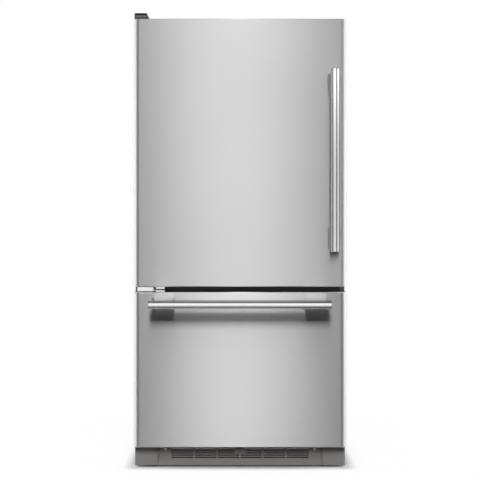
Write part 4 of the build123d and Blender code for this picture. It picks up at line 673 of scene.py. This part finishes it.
class REFRIGERATOR_OT_compartments(bpy.types.Operator):
    """Liners, air duct, control housing with its dials, lamp lens and evaporator cover"""

    bl_idname = "refrigerator.compartments"
    bl_label = "Compartments"

    def execute(self, context):
        colours = context.scene.refrigerator_finishes
        wall = moulded(
            "liner_plastic", colours.liner, 0.22, pebbles=300.0, mottle=0.02, bump=(0.06, 0.0001),
        )
        housing = moulded("housing_plastic", grey(0.8), 0.4)
        knob = moulded("knob_plastic", (0.7, 0.71, 0.72), 0.35)
        lens = moulded(
            "lamp_lens_plastic", (0.9, 0.9, 0.88), 0.3, pebbles=160.0, bump=(0.5, 0.0006),
            transmission=0.6,
        )
        mark = moulded("dial_mark_grey", (0.12, 0.13, 0.14), 0.5)
        dress([
            (wall, ["fridge_liner", "freezer_liner", "evaporator_cover"]),
            (housing, ["control_housing", "air_duct"]),
            (knob, ["fridge_knob", "freezer_knob"]),
            (lens, ["lamp_lens"]),
        ])
        housing_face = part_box("control_housing")[0].y
        for name in ("fridge_knob", "freezer_knob"):
            low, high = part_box(name)
            centre = Vector(((low.x + high.x) / 2, housing_face, (low.z + high.z) / 2))
            radius = (high.x - low.x) / 2
            self.dial(name, centre, radius, context.scene.refrigerator_mouldings, mark)
        return {"FINISHED"}

    @staticmethod
    def dial(name, centre, radius, sizes, material):
        """A bead around a knob, and marks that grow round the dial."""
        relief = 0.0003
        bead_gap, mark_gap = 0.0014, 0.0026
        mark_width, shortest, growth = 0.0009, 0.0012, 0.0012
        first_angle, sweep = 225, 270
        right, up, out = Vector((1, 0, 0)), Vector((0, 0, 1)), Vector((0, -1, 0))

        def draw(shape):
            ring(shape, centre, right, up, radius + bead_gap, sizes.seam_width, relief)
            for i in range(sizes.dial_marks):
                share = i / (sizes.dial_marks - 1)
                angle = math.radians(first_angle - sweep * share)
                way = right * math.cos(angle) + up * math.sin(angle)
                start = centre + way * (radius + mark_gap)
                end = start + way * (shortest + growth * share)
                low_bar(shape, start, end, way.cross(out), out, mark_width, relief)

        moulding(name + "_dial", draw, "cabinet", material)


class REFRIGERATOR_OT_shelves(bpy.types.Operator):
    """Shelf frames, glass and ladders, the two crispers, the door's bins and its dairy flap"""

    bl_idname = "refrigerator.shelves"
    bl_label = "Shelves, Crispers and Bins"

    def execute(self, context):
        rim = moulded("shelf_rim_plastic", (0.85, 0.86, 0.86), 0.25, pebbles=800.0)
        glass = moulded(
            "shelf_glass", (0.86, 0.95, 0.92), 0.03, pebbles=30.0, mottle=0.0, bump=(0.01, 0.0001),
            transmission=1.0, ior=1.5,
        )
        ladder = sprayed("ladder_paint", grey(0.82), 0.35)
        clear = moulded(
            "clear_plastic", (0.9, 0.94, 0.95), 0.08, pebbles=60.0, mottle=0.01, bump=(0.02, 0.0002),
            transmission=0.85, ior=1.45,
        )
        dress([
            (rim, ["shelf_frames"]),
            (glass, ["shelf_glass"]),
            (ladder, ["shelf_ladders"]),
            (clear, ["crisper_left", "crisper_right", "door_bins", "dairy_flap"]),
        ])
        return {"FINISHED"}


class REFRIGERATOR_OT_freezer(bpy.types.Operator):
    """Basket, tray, telescopic rails and the evaporator"""

    bl_idname = "refrigerator.freezer"
    bl_label = "Freezer Fittings"

    def execute(self, context):
        basket = moulded("basket_plastic", (0.84, 0.86, 0.88), 0.35, pebbles=900.0)
        zinc = sprayed("rail_zinc", (0.62, 0.63, 0.64), 0.3, peel=60.0, unevenness=0.15, metallic=0.95)
        fins = brushed("fin_aluminium", (0.75, 0.76, 0.77), (600.0, 600.0, 10.0), 0.35, streak=0.2)
        dress([
            (basket, ["freezer_basket", "freezer_tray"]),
            (zinc, ["outer_rails", "middle_rails", "drawer_brackets"]),
            (fins, ["evaporator_coil"]),
        ])
        return {"FINISHED"}


class REFRIGERATOR_OT_machinery(bpy.types.Operator):
    """Compressor, condenser, both fans and their motors, drain pan and grommets"""

    bl_idname = "refrigerator.machinery"
    bl_label = "Machine Compartment"

    def execute(self, context):
        black = sprayed("compressor_paint", grey(0.02), 0.35, peel=260.0, dust=0.4)
        coil = sprayed("condenser_paint", grey(0.03), 0.45, dust=0.5)
        blade = moulded("fan_plastic", (0.18, 0.18, 0.19), 0.45, dust=0.2)
        motor = sprayed("motor_steel", (0.4, 0.4, 0.42), 0.35, metallic=0.9, unevenness=0.15)
        pan = moulded("pan_plastic", grey(0.05), 0.5, dust=0.4)
        rubber = moulded("rubber", grey(0.03), 0.75, pebbles=1100.0)
        dress([
            (black, ["compressor"]),
            (coil, ["condenser_coil"]),
            (blade, ["condenser_fan", "evaporator_fan"]),
            (motor, ["fan_motors"]),
            (pan, ["drain_pan"]),
            (rubber, ["rubber_grommets"]),
        ])
        return {"FINISHED"}


# ---- Studio ----------------------------------------------------------------------------------
# Places are in metres, and the camera's sensor is in millimetres
STUDIO_MIDDLE = Vector((0.0, door_face, 0.9))
FLOOR_REACH = 14.0
SENSOR_WIDTH = 36.0
WHITE = (1.0, 1.0, 1.0, 1.0)
UPPER = ["upper_door_skin"]
LOWER = ["drawer_front_skin", "drawer_handle_standoffs"]

# Name, place, size, power setting and share of it, rays, and the pieces that it is kept to or from
LAMPS = (
    ("upper_softbox", (-0.05, -5.8, 3.2), (1.6, 3.6), "key_power", 1.0, "glossy", "INCLUDE", UPPER),
    ("left_high_softbox", (-2.0, -3.6, 4.1), (1.5, 2.6), "key_power", 0.04, "glossy", "INCLUDE", UPPER),
    ("right_high_softbox", (2.0, -3.6, 4.1), (1.5, 2.6), "key_power", 0.18, "glossy", "INCLUDE", UPPER),
    ("lower_softbox", (-0.03, -4.4, 5.3), (1.3, 1.8), "key_power", 1.08, "glossy", "INCLUDE", LOWER),
    ("lower_high_softbox", (-0.02, -2.2, 6.0), (1.3, 2.0), "key_power", 0.4, "glossy", "INCLUDE", LOWER),
    ("left_softbox", (-2.0, 0.0, 1.0), (3.4, 2.6), "side_power", 1.0, "glossy", "INCLUDE", door_skins),
    ("right_softbox", (2.0, 0.0, 1.0), (3.4, 2.6), "side_power", 1.0, "glossy", "INCLUDE", door_skins),
    ("left_fill", (-3.5, -0.5, 1.8), (2.0, 2.0), "fill_power", 1.0, "diffuse", "EXCLUDE", []),
    ("right_fill", (3.5, -0.5, 1.8), (2.0, 2.0), "fill_power", 1.0, "diffuse", "EXCLUDE", []),
    ("back_fill", (0.0, 4.0, 2.6), (3.0, 2.0), "fill_power", 1.0, "diffuse", "EXCLUDE", []),
    (
        "front_fill", (-0.3, -3.2, 2.1), (2.4, 1.2), "front_power", 1.0, "diffuse",
        "EXCLUDE", ["upper_door_liner"],
    ),
    (
        "top_fill", (0.0, 0.2, 4.5), (1.6, 1.6), "top_power", 1.0, "diffuse",
        "EXCLUDE", ["base_grille", "corner_covers", "floor"],
    ),
)

# Strength of the reflected surroundings by degrees around, with 0 in front, and by degrees above level
ROOM_AROUND = [
    (-180, 0.3), (-92, 0.3), (-80, 0.05), (-70, 0.05), (-50, 0.5), (-38, 0.85), (-8, 1.0), (14, 1.0),
    (19, 0.1), (40, 0.1), (46, 0.8), (58, 0.95), (82, 1.3), (90, 0.3), (180, 0.3),
]
ROOM_UPWARD = [
    (-90, 0.03), (-69, 0.1), (-40, 0.17), (-20, 0.45), (-7, 0.8), (0, 0.46), (8, 0.48), (11, 0.58),
    (13, 0.98), (20, 0.95), (35, 0.31), (50, 0.15), (64, 0.08), (90, 0.06),
]
DOOR_AROUND = [
    (-180, 0.8), (-42, 0.8), (-24, 0.35), (-14, 0.03), (14, 0.03), (24, 0.35), (42, 0.8), (180, 0.8),
]
DOOR_UPWARD = [(-90, 0.6), (0, 0.8), (60, 1.0), (90, 1.0)]

# How white the floor is by metres away from the cabinet's foot
FLOOR_AWAY = [(0.0, 0.0), (0.014, 0.03), (0.024, 0.3), (0.036, 0.62), (0.05, 0.92), (0.1, 0.98), (0.9, 1.0)]


class REFRIGERATOR_OT_stage(bpy.types.Operator):
    """White surroundings, floor, lamps, reflected panels and camera"""

    bl_idname = "refrigerator.stage"
    bl_label = "Studio"

    def execute(self, context):
        studio = context.scene.refrigerator_studio
        self.world(context, studio.fill)
        self.floor()
        for name, place, size, setting, share, rays, state, pieces in LAMPS:
            lamp = self.lamp(name, place, size, share * getattr(studio, setting), rays)
            self.flag(lamp, pieces, state)
        room = self.surroundings("room_panels", ROOM_AROUND, ROOM_UPWARD, radius=9.0, strength=2.4)
        self.flag(room, door_skins, "EXCLUDE")
        panels = self.surroundings("door_panels", DOOR_AROUND, DOOR_UPWARD, radius=8.5, strength=1.0)
        self.flag(panels, door_skins, "INCLUDE")
        camera = bpy.data.objects.new("camera", bpy.data.cameras.new("camera"))
        context.scene.collection.objects.link(camera)
        camera.location = (0.0, door_face - studio.camera_distance, studio.camera_height)
        camera.rotation_euler = (math.radians(90), 0.0, 0.0)
        camera.data.lens = studio.focal_length
        camera.data.sensor_width = SENSOR_WIDTH
        context.scene.camera = camera
        context.scene.view_settings.view_transform = "Standard"
        return {"FINISHED"}

    @staticmethod
    def seen_directly(tree):
        """1 for a ray from the camera or through glass, and 0 for any other."""
        path = add_node(tree, "ShaderNodeLightPath").outputs
        return maths(tree, "MAXIMUM", path["Is Camera Ray"], path["Is Transmission Ray"])

    def world(self, context, fill):
        """White where it is seen, a plain even light elsewhere, and left out of reflections."""
        world = bpy.data.worlds.new("studio")
        world.use_nodes = True
        tree = world.node_tree
        tree.nodes.clear()
        seen = self.seen_directly(tree)
        strength = add_node(tree, "ShaderNodeMapRange", {"Value": seen, "To Min": fill, "To Max": 1.0})
        backdrop = add_node(
            tree, "ShaderNodeBackground", {"Color": WHITE, "Strength": strength.outputs["Result"]},
        )
        add_node(tree, "ShaderNodeOutputWorld", {0: backdrop.outputs[0]})
        context.scene.world = world
        world.cycles_visibility.glossy = False

    def floor(self):
        """A pale floor, white where it is seen, that keeps the shadow under and close to the base."""
        mesh = bpy.data.meshes.new("floor")
        corners = [(x * FLOOR_REACH, y * FLOOR_REACH, 0) for x, y in ((-1, -1), (1, -1), (1, 1), (-1, 1))]
        mesh.from_pydata(corners, [], [(0, 1, 2, 3)])
        floor = bpy.data.objects.new("floor", mesh)
        bpy.context.scene.collection.objects.link(floor)
        material, tree = new_material("pale_floor")
        low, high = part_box("corner_covers")[0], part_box("cabinet_wrapper")[1]
        centre = Vector(((low.x + high.x) / 2, (low.y + high.y) / 2, 0.0))
        half = Vector(((high.x - low.x) / 2, (high.y - low.y) / 2, 1.0))
        about = vector_maths(tree, "SUBTRACT", object_place(tree), centre)
        beyond = vector_maths(tree, "SUBTRACT", vector_maths(tree, "ABSOLUTE", about), half)
        outside = vector_maths(tree, "MAXIMUM", beyond, (0.0, 0.0, 0.0))
        away = add_node(tree, "ShaderNodeVectorMath", {0: outside}, operation="LENGTH").outputs["Value"]
        share = maths(tree, "MULTIPLY", profile(tree, away, FLOOR_AWAY), self.seen_directly(tree))
        matte = add_node(tree, "ShaderNodeBsdfDiffuse", {"Color": (0.9, 0.9, 0.9, 1.0)})
        white = add_node(tree, "ShaderNodeEmission", {"Color": WHITE})
        blend = add_node(
            tree, "ShaderNodeMixShader", {0: share, 1: matte.outputs[0], 2: white.outputs[0]},
        )
        add_node(tree, "ShaderNodeOutputMaterial", {0: blend.outputs[0]})
        material.cycles.emission_sampling = "NONE"
        mesh.materials.append(material)
        floor.visible_glossy = False

    @staticmethod
    def lamp(name, place, size, power, rays):
        """A rectangular softbox that faces the studio's middle, for some kinds of ray."""
        data = bpy.data.lights.new(name, "AREA")
        data.shape = "RECTANGLE"
        data.size, data.size_y = size
        data.energy = power
        lamp = bpy.data.objects.new(name, data)
        lamp.location = place
        lamp.rotation_euler = (STUDIO_MIDDLE - Vector(place)).to_track_quat("-Z", "Y").to_euler()
        lamp.visible_camera = False
        lamp.visible_diffuse = rays == "diffuse"
        lamp.visible_glossy = rays == "glossy"
        bpy.context.scene.collection.objects.link(lamp)
        return lamp

    @staticmethod
    def flag(light, pieces, state):
        """Light only some pieces, or all but some pieces, as a studio's flags do."""
        if not pieces:
            return
        flags = bpy.data.collections.new(light.name + "_flags")
        for name in pieces:
            flags.objects.link(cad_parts.get(name) or bpy.data.objects[name])
        for entry in flags.collection_objects:
            entry.light_linking.link_state = state
        light.light_linking.receiver_collection = flags

    @staticmethod
    def surroundings(name, around, upward, radius, strength):
        """A clear dome that only reflections see, lit by direction around and above the refrigerator."""
        shape = bmesh.new()
        bmesh.ops.create_icosphere(shape, subdivisions=4, radius=radius)
        mesh = bpy.data.meshes.new(name)
        shape.to_mesh(mesh)
        shape.free()
        dome = bpy.data.objects.new(name, mesh)
        dome.location = STUDIO_MIDDLE
        bpy.context.scene.collection.objects.link(dome)
        material, tree = new_material(name)
        way = vector_maths(tree, "NORMALIZE", object_place(tree))
        parts = add_node(tree, "ShaderNodeSeparateXYZ", {0: way}).outputs
        forward = maths(tree, "MULTIPLY", parts["Y"], -1.0)
        turn = maths(tree, "DEGREES", maths(tree, "ARCTAN2", parts["X"], forward))
        lift = maths(tree, "DEGREES", maths(tree, "ARCSINE", parts["Z"]))
        both = vector_maths(tree, "MULTIPLY", profile(tree, turn, around), profile(tree, lift, upward))
        bright = add_node(tree, "ShaderNodeEmission", {"Color": both, "Strength": strength})
        clear = add_node(tree, "ShaderNodeBsdfTransparent")
        passed = add_node(tree, "ShaderNodeAddShader", {0: bright.outputs[0], 1: clear.outputs[0]})
        add_node(tree, "ShaderNodeOutputMaterial", {0: passed.outputs[0]})
        mesh.materials.append(material)
        for ray in ("camera", "diffuse", "shadow", "transmission"):
            setattr(dome, "visible_" + ray, False)
        return dome


# ---- Add-on ----------------------------------------------------------------------------------
piece_operators = (
    REFRIGERATOR_OT_doors,
    REFRIGERATOR_OT_handles,
    REFRIGERATOR_OT_cabinet,
    REFRIGERATOR_OT_hinges,
    REFRIGERATOR_OT_base,
    REFRIGERATOR_OT_compartments,
    REFRIGERATOR_OT_shelves,
    REFRIGERATOR_OT_freezer,
    REFRIGERATOR_OT_machinery,
    REFRIGERATOR_OT_stage,
)


class REFRIGERATOR_PT_tools(bpy.types.Panel):
    """Lists the steps that dress the refrigerator"""

    bl_idname = "REFRIGERATOR_PT_tools"
    bl_label = "Refrigerator"
    bl_space_type = "VIEW_3D"
    bl_region_type = "UI"
    bl_category = "Refrigerator"

    def draw(self, context):
        column = self.layout.column(align=True)
        for name in settings_groups:
            group = getattr(context.scene, name)
            for setting in group.__annotations__:
                column.prop(group, setting)
        for operator in piece_operators:
            column.operator(operator.bl_idname)


settings_groups = {
    "refrigerator_finishes": RefrigeratorFinishes,
    "refrigerator_mouldings": RefrigeratorMouldings,
    "refrigerator_studio": RefrigeratorStudio,
}


def register():
    for name, group in settings_groups.items():
        bpy.utils.register_class(group)
        setattr(bpy.types.Scene, name, PointerProperty(type=group))
    for item in (*piece_operators, REFRIGERATOR_PT_tools):
        bpy.utils.register_class(item)


def unregister():
    for item in reversed((*piece_operators, REFRIGERATOR_PT_tools)):
        bpy.utils.unregister_class(item)
    for name, group in settings_groups.items():
        delattr(bpy.types.Scene, name)
        bpy.utils.unregister_class(group)


def main():
    register()
    for operator in piece_operators:
        group, step = operator.bl_idname.split(".")
        getattr(getattr(bpy.ops, group), step)()


if __name__ == "__main__":
    main()
